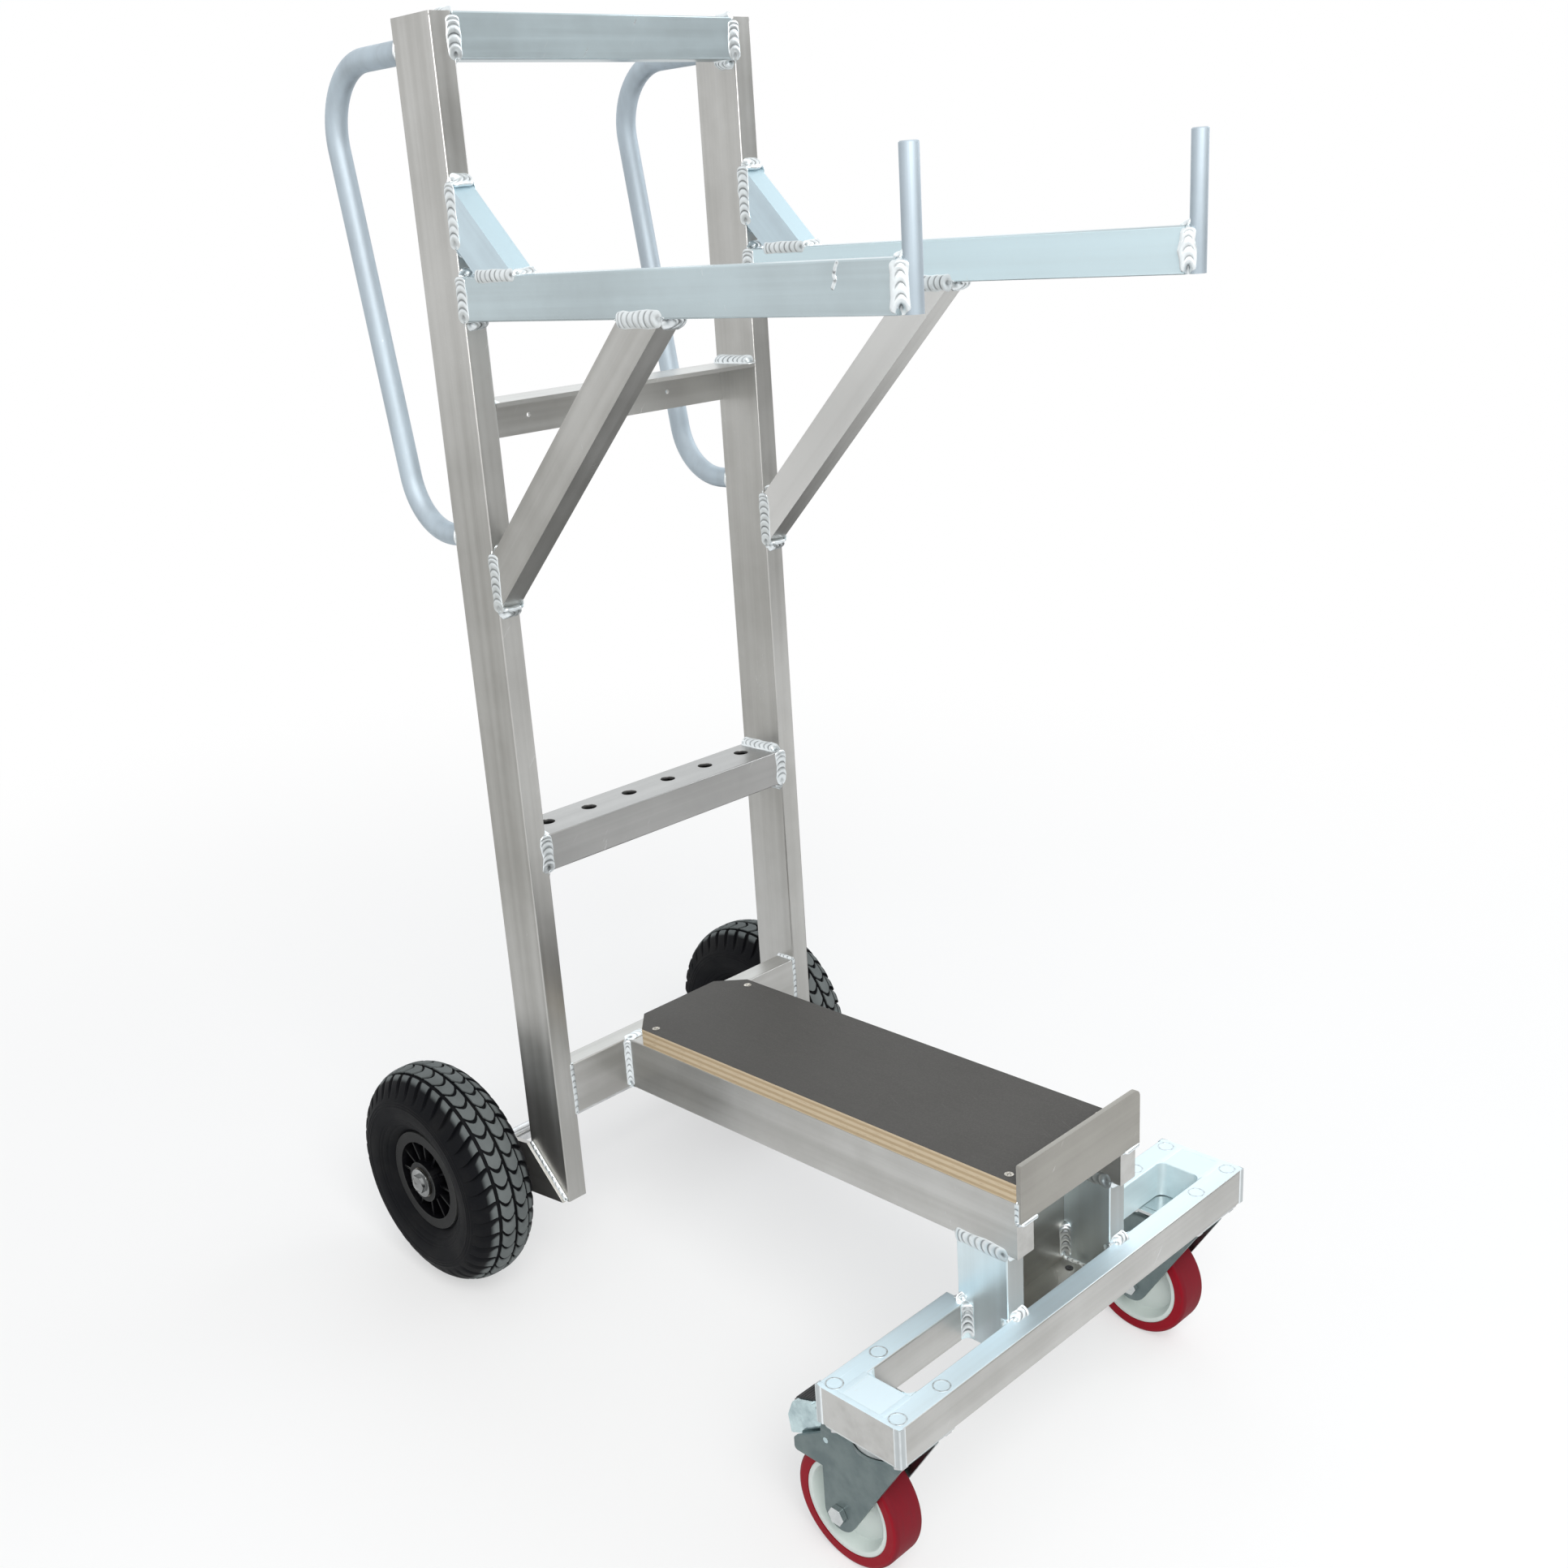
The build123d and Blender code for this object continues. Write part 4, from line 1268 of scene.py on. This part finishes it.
    def ground_welds(self) -> None:
        """Lay the welds of the beam that are ground smooth: corners, flush seams, plugs and slot corners."""
        welder = Welder(self.axes, random.Random(self.ground_seed))
        seams, corners, plugs, hollows = Draft(), Draft(), Draft(), Draft()
        front = self.solid("beam_front_rail")
        top = front.high[2]
        for boss in blocks(self.axes, "bolt_bosses"):
            middle = np.array([*boss.middle[:2], boss.high[2]])
            path, _ = circle(middle, ACROSS, BACK, np.ptp(boss.points[:, 0]) / 2)
            welder.bead(plugs, path, UP, Seam.PLUG, closed=True)
        for sign, plate in zip((-1, 1), blocks(self.axes, "beam_end_plates")):
            outer, inner = (plate.low[0], plate.high[0]) if sign < 0 else (plate.high[0], plate.low[0])
            ends = ((plate.low[1], -1), (plate.high[1], 1))
            for y, back in ends:
                self.corner_band(corners, np.array([outer, y]), np.array([sign, back]), front)
            welder.bead(seams, np.array([[inner, y, top] for y, _ in ends]), UP, Seam.GROUND)
        for (side, sign), cross in zip(SIDES, blocks(self.axes, "beam_crosspieces")):
            rear, post = self.solid(f"{side}_beam_rear_rail"), self.solid(f"{side}_post")
            inner, outer = (cross.low[0], post.high[0]) if sign > 0 else (cross.high[0], post.low[0])
            for y, back in ((front.high[1], 1), (rear.low[1], -1)):
                path = np.array([[x, y, top] for x in (cross.low[0], cross.high[0])])
                welder.bead(seams, path, UP, Seam.GROUND)
                for x, way in ((inner, -sign), (outer, sign)):
                    self.slot_corner(hollows, np.array([x, y]), np.array([way, back]), front)
        # Corner bands and plug rings: weld metal with paler painted shade, and for plugs a dimmer painted
        # highlight
        corner_metal = WeldMetal(valley_shade=(0.40, 0.43, 0.44)).build("corner_metal")
        plug_metal = WeldMetal((0.62, 0.69, 0.72), (0.36, 0.39, 0.41)).build("plug_metal")
        # The ground seams take the beam's painted sky reflection on their tops
        seams.piece("ground_welds", "frame", "tube_aluminium", self.finishes["mill_sky_painted_top"])
        # The slot corners take the slot's painted sky reflection
        hollows.piece("slot_corners", "frame", "tube_aluminium", self.finishes["sky_painted_slot_across"])
        corners.piece("corner_welds", "frame", "tube_aluminium", corner_metal)
        plugs.piece("plug_welds", "frame", "plate_aluminium", plug_metal)

    def post(
        self, draft: Draft, section: Points, low: float, high: float, painted_light: "Points | float" = 1.0
    ) -> None:
        """Raise a section straight up.

        Args:
            draft: Mesh to add it to.
            section: Its points across and along.
            low: Its lower end.
            high: Its upper end.
            painted_light: The painted highlight and painted shade of weld metal, for each point or for all.
        """
        rings = np.stack([np.insert(section, 2, z, axis=1) for z in (low, high)])
        draft.rings(self.axes.out(rings), painted_light=painted_light)

    def corner_band(self, draft: Draft, corner: Points, way: Points, rail: Block) -> None:
        """Wrap a smooth band with raised brims round one upright corner of the beam.

        Args:
            draft: Mesh to add it to.
            corner: Place of the corner across and along.
            way: Signs of the directions out of the beam.
            rail: A rail of the beam, for its height.
        """
        mirrored = [(v, u, painted_light) for u, v, painted_light in self.band[::-1]]
        line = np.array([*self.band, self.band_tip, *mirrored, self.band_root])
        section = corner + way * line[:, :2] * MM
        self.post(draft, section, rail.low[2], rail.high[2] + self.band_over, line[:, 2])

    def slot_corner(self, draft: Draft, corner: Points, way: Points, rail: Block) -> None:
        """Round one upright corner of a slot.

        Args:
            draft: Mesh to add it to.
            corner: Place of the corner across and along.
            way: Signs of the directions into the slot.
            rail: A rail of the beam, for its height.
        """
        turns = np.linspace(0.0, np.pi / 2, self.slot_points)
        hollow = self.slot_round * way * np.stack([1 - np.sin(turns), 1 - np.cos(turns)], axis=1)
        self.post(draft, np.vstack([-way * EDGE_BREAK, hollow]) + corner, rail.low[2] + MM, rail.high[2])

    def grommet(self) -> None:
        """Set a black rubber grommet in the drain hole of the well's floor."""
        plate = self.solid("well_floor")
        clear = np.minimum(plate.points - plate.low, plate.high - plate.points)[:, :2] > self.hole_clear
        hole = plate.points[clear.all(axis=1)]
        radius = np.ptp(hole[:, 0]) / 2
        middle = np.array([*(hole.min(0) + hole.max(0))[:2] / 2, plate.high[2]])
        collar = np.array(self.collar) * MM
        rings = [circle(middle + rise * UP, ACROSS, BACK, radius + out)[0] for out, rise in collar]
        draft = Draft()
        draft.rings(self.axes.out(np.stack(rings, axis=1)), closed=True)
        draft.piece("drain_grommet", "frame", "tyre_rubber", TRIM_RUBBER.build("grommet_rubber"))


@dataclass
class Deck:
    """The film-faced board and its countersunk screws.

    The rows of a screw head are shares of its radius and heights in mm.
    """

    axes: CartAxes
    edge_break: float = 0.6 * MM
    screw_r: float = 4.4 * MM
    inset: float = 11.0 * MM
    front_inset: float = 16.5 * MM
    rear_inset: float = 39.6 * MM
    rows: tuple[tuple[float, float], ...] = (
        (1.0, -0.6), (1.0, 0.15), (0.93, 0.35), (0.62, 0.55), (0.5, 0.58), (0.34, 0.6), (0.03, 0.6)
    )
    points: int = 32
    cross_half: float = 0.26
    cross_out: float = 0.55
    cross_deep: float = 1.1 * MM
    finish: PlatedSteel = PlatedSteel((0.62, 0.60, 0.55), (0.42, 0.40, 0.36), 0.3)

    def dress(self) -> None:
        """Give the board its film and edges, and set a screw near each corner."""
        board = blocks(self.axes, "deck_board")[0]
        dress("deck_board", FilmPly().build("film_ply", self.axes, board), self.edge_break)
        draft = Draft()
        low, high = board.low, board.high
        for x in (low[0] + self.inset, high[0] - self.inset):
            for y in (low[1] + self.front_inset, high[1] - self.rear_inset):
                self.head(draft, np.array([x, y, high[2]]))
        draft.piece("deck_screws", "frame", "bright_zinc", self.finish.build("screw_zinc"))

    def head(self, draft: Draft, seat: Points) -> None:
        """Turn one screw head with a cross recess.

        Args:
            draft: Mesh to add it to.
            seat: Where its middle sits on the board.
        """
        turns = round_turns(self.points)
        cos, sin = np.cos(turns), np.sin(turns)
        cross = np.minimum(np.abs(sin), np.abs(cos)) < self.cross_half
        rings = []
        for share, rise in self.rows:
            dip = np.where(cross & (share < self.cross_out), self.cross_deep, 0.0)
            reach = share * self.screw_r
            rings.append(seat + np.stack([reach * cos, reach * sin, rise * MM - dip], axis=1))
        draft.rings(self.axes.out(np.array(rings)))


@dataclass
class RearWheel:
    """One pneumatic wheel: treaded tyre, ribbed plastic rim and its bearings.

    Places on the tyre are distances from its middle, with drops below the crown or shares of its radius. The
    columns and lugs of the tread are placed and cut in shares of one pitch. The rings on the wall are radii,
    widths and heights in mm.
    """

    side: str
    pitches: int = 40
    phases: tuple[float, ...] = (
        0.0, 0.05, 0.09, 0.13, 0.25, 0.37, 0.41, 0.45, 0.5, 0.55, 0.59, 0.63, 0.75, 0.87, 0.91, 0.95
    )
    crown_mid: tuple[float, float] = (20 * MM, 3.5 * MM)
    shoulder: tuple[float, float] = (32.8 * MM, 13 * MM)
    waist: float = 0.70
    bead_x: float = 27 * MM
    bead_top: float = 0.4615
    bead_foot: float = 0.394
    wall_rows: int = 18
    outward: float = 0.2
    fine: int = 200
    groove: float = 3.4 * MM
    centre_half: float = 1.9 * MM
    centre_edge: tuple[float, float] = (0.8, 1.25)
    column_rows: tuple[float, ...] = (5 * MM, 8 * MM, 10 * MM, 12 * MM, 15 * MM)
    column_out: float = 18.0 * MM
    column_edge: tuple[float, float] = (-0.4 * MM, 0.2 * MM)
    column_cut: float = 0.1
    bulge: float = 0.40
    shoulder_in: float = 21.2 * MM
    shoulder_edge: tuple[float, float] = (-0.3 * MM, 0.3 * MM)
    lug_rows: tuple[float, ...] = (23.5 * MM, 26 * MM, 29 * MM)
    lug_top: float = 5 * MM
    lug_end: float = 104.0 * MM
    lug_fade: float = 14 * MM
    lug_sweep: float = 0.45
    lug_turn: float = 0.75
    lug_deep: float = 1.1
    lug_slope: float = 0.42
    lug_cut: tuple[float, float] = (0.04, 0.03)
    lug_back: float = 0.955
    lug_powers: tuple[float, float] = (0.7, 1.5)
    rings: tuple[tuple[float, float, float], ...] = (
        (101.0, 0.9, 0.8), (97.4, 0.7, 0.6), (94.4, 0.7, 0.6),
        (78.0, 0.7, 0.6), (74.6, 1.0, 0.8), (68.6, 0.8, 0.7),
    )
    ring_rows: tuple[float, ...] = (-1.6, -0.6, 0.6, 1.6)
    sharp: float = 32.0
    coats: tuple[Coat, ...] = (
        # The rim's second colour is mostly a painted highlight on its rib and ring edges
        Coat("rim_plastic", Moulded((0.003, 0.003, 0.004), (0.14, 0.145, 0.14), 0.38, 0.08), ("rim",)),
        Coat(
            "bearing_steel",
            PlatedSteel((0.34, 0.31, 0.26), (0.2, 0.18, 0.15), 0.3),
            plain=("wheel_bearings",),
        ),
    )

    def __post_init__(self) -> None:
        """Read the tyre's place and size from the frame."""
        low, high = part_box(f"{self.side}_tyre")
        self.middle = (low + high) / 2
        self.radius = (high.z - low.z) / 2
        self.half = (high.x - low.x) / 2

    def arc(self, first: Points, via: Points, last: Points) -> Points:
        """Go along the circle through three points.

        Args:
            first: Start of the arc.
            via: A point on it.
            last: Its end.

        Returns:
            Close points on the arc, the first left out.
        """
        (ax, ay), (bx, by) = via - first, last - first
        a, b = ax * ax + ay * ay, bx * bx + by * by
        centre = first + np.array([by * a - ay * b, ax * b - bx * a]) / (2 * (ax * by - ay * bx))
        angles = np.unwrap([math.atan2(*(point - centre)[::-1]) for point in (first, via, last)])
        turns = np.linspace(angles[0], angles[2], self.fine + 1)[1:]
        return centre + np.linalg.norm(first - centre) * np.stack([np.cos(turns), np.sin(turns)], axis=1)

    def profile(self) -> tuple[Points, Points]:
        """Draw half of the tyre's outline from the crown out to the bead.

        Returns:
            Points as distance from the middle and radius, and for each its way inward.
        """
        r = self.radius
        crown = np.array([0.0, r])
        mid, shoulder = (np.array([aside, r - drop]) for aside, drop in (self.crown_mid, self.shoulder))
        bead = np.array([self.bead_x, r * self.bead_top])
        top = np.vstack([crown, self.arc(crown, mid, shoulder)])
        marks = [0.0, *(self.centre_half * share for share in self.centre_edge), *self.column_rows]
        marks += [self.column_out + past for past in self.column_edge]
        marks += [self.shoulder_in + past for past in self.shoulder_edge]
        marks += [*self.lug_rows, shoulder[0]]
        tread = np.stack([marks, np.interp(marks, top[:, 0], top[:, 1])], axis=1)
        wall = self.arc(shoulder, np.array([self.half, r * self.waist]), bead)[::-1]
        levels = [*np.linspace(bead[1], shoulder[1], self.wall_rows)[:-1]]
        levels += [(at + part * width) * MM for at, width, _ in self.rings for part in self.ring_rows]
        levels = np.sort(levels)[::-1]
        wall = np.stack([np.interp(levels, wall[:, 1], wall[:, 0]), levels], axis=1)
        line = np.vstack([tread, wall, [[bead[0], r * self.bead_foot]]])
        way = np.gradient(line, axis=0)
        inward = unit(np.stack([way[:, 1], -way[:, 0]], axis=1))
        # Rows whose way came out pointing away from the axle are turned round
        inward[inward[:, 1] > self.outward] *= -1
        return line, inward

    def depth(self, x: float, r: float, phase: float, lag: float) -> float:
        """Work out how far the tread is cut back at a place.

        Args:
            x: Distance from the middle of the tyre.
            r: Radius.
            phase: Place along one tread pitch, from 0 to 1.
            lag: Where this side's cuts sit along the pitch.

        Returns:
            Depth in metres.
        """
        if x < self.centre_half or self.column_out < x < self.shoulder_in:
            return self.groove
        shift = (phase - lag + 0.5) % 1.0
        if x <= self.column_out:
            return self.groove if abs(shift - 0.5) < self.column_cut else 0.0
        fade = min(1.0, max(0.0, (r - self.lug_end) / self.lug_fade))
        middle, half = self.lug_cut
        cut = max(0.0, 1.0 - abs(shift - middle) / half)
        slope = max(0.0, 1.0 - shift / self.lug_slope)
        back = 1.0 if shift > self.lug_back else 0.0
        fading, sloping = self.lug_powers
        return self.groove * self.lug_deep * fade**fading * max(cut, slope**sloping, back)

    def lead(self, x: float, r: float) -> float:
        """Work out how far a tread line runs ahead at a place.

        Args:
            x: Distance from the middle of the tyre.
            r: Radius.

        Returns:
            The lead in pitches.
        """
        if x <= self.shoulder_in:
            column = (self.centre_half + self.column_out) / 2
            span = (self.column_out - self.centre_half) / 2
            return self.bulge * max(0.0, 1.0 - ((x - column) / span) ** 2)
        share = (self.radius - self.lug_top - r) / (self.radius - self.lug_end)
        return self.lug_sweep * math.sin(math.pi * min(1.0, max(0.0, share)) * self.lug_turn)

    def ridge(self, r: float) -> float:
        """Return the height of the fine rings moulded on the wall at a radius."""
        return sum(rise * MM * math.exp(-(((r / MM - at) / width) ** 2)) for at, width, rise in self.rings)

    def tyre(self, finish: bpy.types.Material) -> None:
        """Turn the tyre with its tread.

        Args:
            finish: Its material.
        """
        line, inward = self.profile()
        order = [(k, 1) for k in range(len(line) - 1, 0, -1)] + [(k, -1) for k in range(len(line))]
        steps = np.array([phase + pitch for pitch in range(self.pitches) for phase in self.phases])
        rows = np.zeros((len(order), len(steps), 3))
        for row, (k, hand) in enumerate(order):
            (x, r), (in_x, in_r) = line[k], inward[k]
            lag = 0.5 if (hand > 0) == (x > self.column_out) else 0.0
            turn = (steps + self.lead(x, r)) / self.pitches * 2 * np.pi
            cuts = np.array([self.depth(x, r, phase, lag) for phase in self.phases] * self.pitches)
            if r < self.lug_end:
                cuts -= self.ridge(r)
            reach = r + in_r * cuts
            rows[row, :, 0] = self.middle.x + hand * (x + in_x * cuts)
            rows[row, :, 1] = self.middle.y - reach * np.sin(turn)
            rows[row, :, 2] = self.middle.z + reach * np.cos(turn)
        draft = Draft()
        draft.rings(rows, closed=True)
        body = f"{self.side}_rear_wheel"
        made = draft.piece(f"{self.side}_treaded_tyre", body, "tyre_rubber", finish, self.sharp)
        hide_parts(f"{self.side}_tyre")

    def dress(self) -> None:
        """Build the tyre and finish the rim and bearings."""
        self.tyre(Rubber().build(f"{self.side}_tyre_rubber", self.middle, self.radius))
        for coat in self.coats:
            coat.lay(f"{self.side}_")


@dataclass
class Caster:
    """One braked swivel caster, with a ribbed rubber pad on the hood of its pedal.

    The hood's bends are in mm back and up from its hinge. Its sheet and the pad's heights are in mm too.
    """

    side: str
    axes: CartAxes
    hood: tuple[tuple[float, float], ...] = (
        (23.0, 22.3), (42.5, 15.6), (45.8, 14.0), (48.2, 11.2), (52.0, 1.0)
    )
    half_sheet: float = 1.75
    pad_half: float = 14.0 * MM
    pad_inset: float = 0.7 * MM
    pad_rows: int = 72
    pad_sink: float = 0.4
    pad_t: float = 1.3
    rib_t: float = 0.6
    rib_pitch: float = 4.0
    rib_share: float = 0.65
    coats: tuple[Coat, ...] = (
        Coat(
            "fork_zinc",
            PlatedSteel((0.19, 0.235, 0.235), (0.14, 0.18, 0.185), 0.36),
            ("caster_fork",),
            bevel=1.0 * MM,
        ),
        Coat(
            "axle_zinc",
            PlatedSteel((0.66, 0.69, 0.69), (0.52, 0.55, 0.56), 0.24),
            ("caster_plate", "caster_axle"),
        ),
        # Painted highlight on the hub's sharp edges, from the moulded finish's second colour
        Coat(
            "hub_nylon",
            Moulded((0.66, 0.73, 0.70), (0.72, 0.77, 0.73), 0.36),
            ("caster_hub",),
            bevel=0.6 * MM,
        ),
        # Painted sky reflection: the cyan tint of the pedal's zinc
        Coat(
            "sky_painted_pedal_zinc",
            PlatedSteel((0.60, 0.74, 0.76), (0.36, 0.46, 0.49), 0.10, 0.4 * MM),
            ("brake_pedal",),
        ),
    )

    def dress(self) -> None:
        """Finish the plate, fork, wheel and pedal."""
        for coat in self.coats:
            coat.lay(f"{self.side}_")
        low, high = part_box(f"{self.side}_caster_tread")
        middle = (low + high) / 2
        urethane = Urethane().build(f"{self.side}_tread_urethane", middle, (high.z - low.z) / 2)
        dress(f"{self.side}_caster_tread", urethane)
        self.pad()

    def pad(self) -> None:
        """Lay the ribbed pad over the hood of the pedal."""
        x, y, z = self.axes.own(joint(f"{self.side}_brake_press")["pos_m"])
        bends = np.array(self.hood)
        gone = stations(bends)
        at = np.linspace(0.0, gone[-1], self.pad_rows)
        line = along(bends, gone, at)
        way = unit(np.gradient(line, axis=0))
        out = np.stack([-way[:, 1], way[:, 0]], axis=1)
        on_rib = at % self.rib_pitch < self.rib_share * self.rib_pitch
        top = self.half_sheet + self.pad_t + self.rib_t * on_rib
        base = np.full(len(at), self.half_sheet - self.pad_sink)
        flat = self.pad_half - self.pad_inset
        half = ((self.pad_half, base), (self.pad_half, top - self.rib_t), (flat, top))
        rows = []
        for aside, rise in [*((-reach, rise) for reach, rise in half), *half[::-1]]:
            spine = (line + out * rise[:, None]) * MM
            rows.append(np.stack([np.full(len(at), x + aside), y + spine[:, 0], z + spine[:, 1]], axis=1))
        draft = Draft()
        draft.rings(self.axes.out(np.stack(rows, axis=1)))
        rubber = TRIM_RUBBER.build(f"{self.side}_pad_rubber")
        draft.piece(f"{self.side}_pedal_pad", f"{self.side}_brake", "tyre_rubber", rubber)


@dataclass
class Fittings:
    """The axle, its nuts and the casters' fastenings."""

    bevel: float = 0.4 * MM

    def dress(self) -> None:
        """Give the fittings their zinc."""
        bright = PlatedSteel((0.70, 0.71, 0.72), (0.5, 0.51, 0.52), 0.22)
        dome = PlatedSteel((0.36, 0.37, 0.37), (0.2, 0.205, 0.205), 0.2)
        dark = PlatedSteel((0.45, 0.48, 0.48), (0.28, 0.3, 0.31), 0.36)
        turned = ("rear_axle", "axle_spacers", "caster_bolts")
        Coat("bright_zinc_parts", bright, turned, bevel=self.bevel).lay()
        Coat("nut_zinc", dome, ("axle_nuts",), bevel=self.bevel).lay()
        Coat("swivel_zinc", dark, plain=("ball_rings", "king_pins")).lay()


@dataclass
class Studio:
    """Pale floor, soft light and the camera.

    A lamp has its name, place, size, power and tint. A card has its name, middle, the ways from there to two
    edges, and its brightness.
    """

    half: float = 8.0
    eye: Colour = (-1.18832, -1.15462, 1.29987)
    look: Colour = (0.63416, 0.65516, -0.41062)
    lens: float = 39.789
    sensor: float = 36.0
    shift: tuple[float, float] = (0.0377, 0.0352)
    fill: float = 0.62
    aim: Colour = (0.0, 0.0, 0.55)
    lamps: tuple[tuple[str, Colour, float, float, Colour], ...] = (
        ("key", (-1.6, -2.4, 3.2), 2.6, 95.0, (1.0, 0.985, 0.96)),
        ("side", (2.9, -0.8, 2.4), 2.2, 26.0, (0.93, 0.97, 1.0)),
        ("sky", (2.2, 2.9, 2.9), 3.2, 14.0, (0.86, 0.95, 1.0)),
    )
    cards: tuple[tuple[str, Colour, Colour, Colour, float], ...] = (
        ("front_card", (2.5, -3.3, 1.35), (2.07, 1.57, 0.0), (0.0, 0.0, 1.1), 0.42),
        ("corner_card", (2.207, -3.459, 2.0), (0.223, 0.169, 0.0), (0.0, 0.0, 0.55), 0.05),
        ("right_card", (3.817, -2.239, 1.35), (0.725, 0.55, 0.0), (0.0, 0.0, 1.1), 0.15),
        ("floor_card", (-2.3, 2.8, 0.004), (1.7, 0.0, 0.0), (0.0, 2.3, 0.0), 0.60),
        ("dark_card", (0.7, 0.55, 0.004), (0.5, 0.0, 0.0), (0.0, 0.75, 0.0), 0.12),
    )
    white: tuple[float, ...] = (1.0, 1.0, 1.0, 1.0)
    sky: tuple[float, ...] = (0.96, 0.98, 1.0, 1.0)

    def build(self) -> None:
        """Set up the floor, the world, the cards, the lamps and the camera."""
        self.floor()
        self.world()
        for name, *corners, level in self.cards:
            self.card(name, *map(Vector, corners), level)
        for lamp in self.lamps:
            self.lamp(*lamp)
        self.camera()

    def toward(self, way: Vector) -> Euler:
        """Return the turn that points a lamp or a camera one way."""
        return way.to_track_quat("-Z", "Y").to_euler()

    def lamp(self, name: str, place: Colour, size: float, power: float, tint: Colour) -> None:
        """Hang a round lamp that points at the cart.

        Args:
            name: Name of the lamp.
            place: Where it hangs.
            size: Its width in metres.
            power: Its power in watts.
            tint: Its colour.
        """
        data = bpy.data.lights.new(name, "AREA")
        data.shape = "DISK"
        data.size = size
        data.energy = power
        data.color = tint
        made = linked(name, data)
        made.location = place
        made.rotation_euler = self.toward(Vector(self.aim) - Vector(place))

    def staged(self, name: str, corners: list[Vector], graph: Graph) -> bpy.types.Object:
        """Make one flat piece of the studio.

        Args:
            name: Name of the piece.
            corners: Its four corners.
            graph: Its material.

        Returns:
            The new object.
        """
        mesh = bpy.data.meshes.new(name)
        mesh.from_pydata(corners, [], [(0, 1, 2, 3)])
        mesh.materials.append(graph.holder)
        made = linked(name, mesh)
        return made

    def card(self, name: str, place: Vector, aside: Vector, rise: Vector, level: float) -> None:
        """Set up a grey card that only the metal's reflections show.

        Args:
            name: Name of the card.
            place: Its middle.
            aside: From the middle to one edge.
            rise: From the middle to the next edge.
            level: How bright it is.
        """
        graph = Graph.material(name)
        clouds = graph.noise(graph.place(), 0.8, 2.0)
        colour = graph.blend(clouds, (0.95, 0.94, 0.90), (1.0, 0.99, 0.96))
        graph.close(graph.node("Emission", {}, {"Color": colour, "Strength": level}))
        corners = [place - aside - rise, place + aside - rise, place + aside + rise, place - aside + rise]
        made = self.staged(name, corners, graph)
        made.visible_camera = made.visible_diffuse = made.visible_shadow = False

    def seen(self, graph: Graph) -> Socket:
        """Tell rays that show the backdrop from those that light the cart.

        Args:
            graph: Material or world to add the test to.

        Returns:
            1 for rays from the camera, from shiny surfaces and through clear ones.
        """
        path = graph.node("LightPath", out="Is Camera Ray")
        outputs = path.output.node.outputs
        shiny = path.math("MAXIMUM", path, Socket(graph, outputs["Is Glossy Ray"]))
        return path.math("MAXIMUM", shiny, Socket(graph, outputs["Is Transmission Ray"]))

    def floor(self) -> None:
        """Lay the floor, which pales into the backdrop with distance."""
        graph = Graph.material("floor_paper")
        place = graph.place()
        reach = graph.vector("LENGTH", place, out="Value")
        colour = graph.blend(graph.noise(place, 1.5, 3.0), (0.88, 0.88, 0.88), (0.92, 0.92, 0.92))
        paper = graph.node("BsdfDiffuse", {}, {"Color": colour})
        glow = graph.node("Emission", {}, {"Color": self.white, "Strength": 1.0})
        share = (0.5 + 0.5 * reach.band(0.6, 2.2)) * self.seen(graph)
        graph.close(graph.node("MixShader", {}, {0: share, 1: paper, 2: glow}))
        h = self.half
        self.staged("floor", [Vector((x, y, 0.0)) for x, y in ((-h, -h), (h, -h), (h, h), (-h, h))], graph)

    def world(self) -> None:
        """Light the scene softly all round, with a white backdrop."""
        world = bpy.data.worlds.new("studio")
        bpy.context.scene.world = world
        graph = Graph(world)
        soft = graph.node("Background", {}, {"Color": self.sky, "Strength": self.fill})
        bright = graph.node("Background", {}, {"Color": self.white, "Strength": 1.0})
        graph.close(graph.node("MixShader", {}, {0: self.seen(graph), 1: soft, 2: bright}), "World")

    def camera(self) -> None:
        """Set the camera at the photograph's place."""
        data = bpy.data.cameras.new("camera")
        data.lens = self.lens
        data.sensor_width = self.sensor
        data.shift_x, data.shift_y = self.shift
        made = linked("camera", data)
        made.location = self.eye
        made.rotation_euler = self.toward(Vector(self.look))
        bpy.context.scene.camera = made
        bpy.context.scene.view_settings.view_transform = "Standard"


def main() -> None:
    """Build the whole scene and note its size."""
    logging.basicConfig(level=logging.INFO, format="%(message)s")
    axes = CartAxes.from_frame()
    welded = WeldedFrame(axes)
    welded.dress()
    welded.weld()
    welded.ground_welds()
    welded.grommet()
    Deck(axes).dress()
    for side, _ in SIDES:
        RearWheel(side).dress()
        Caster(side, axes).dress()
    Fittings().dress()
    Studio().build()
    bpy.context.view_layer.update()


if __name__ == "__main__":
    main()
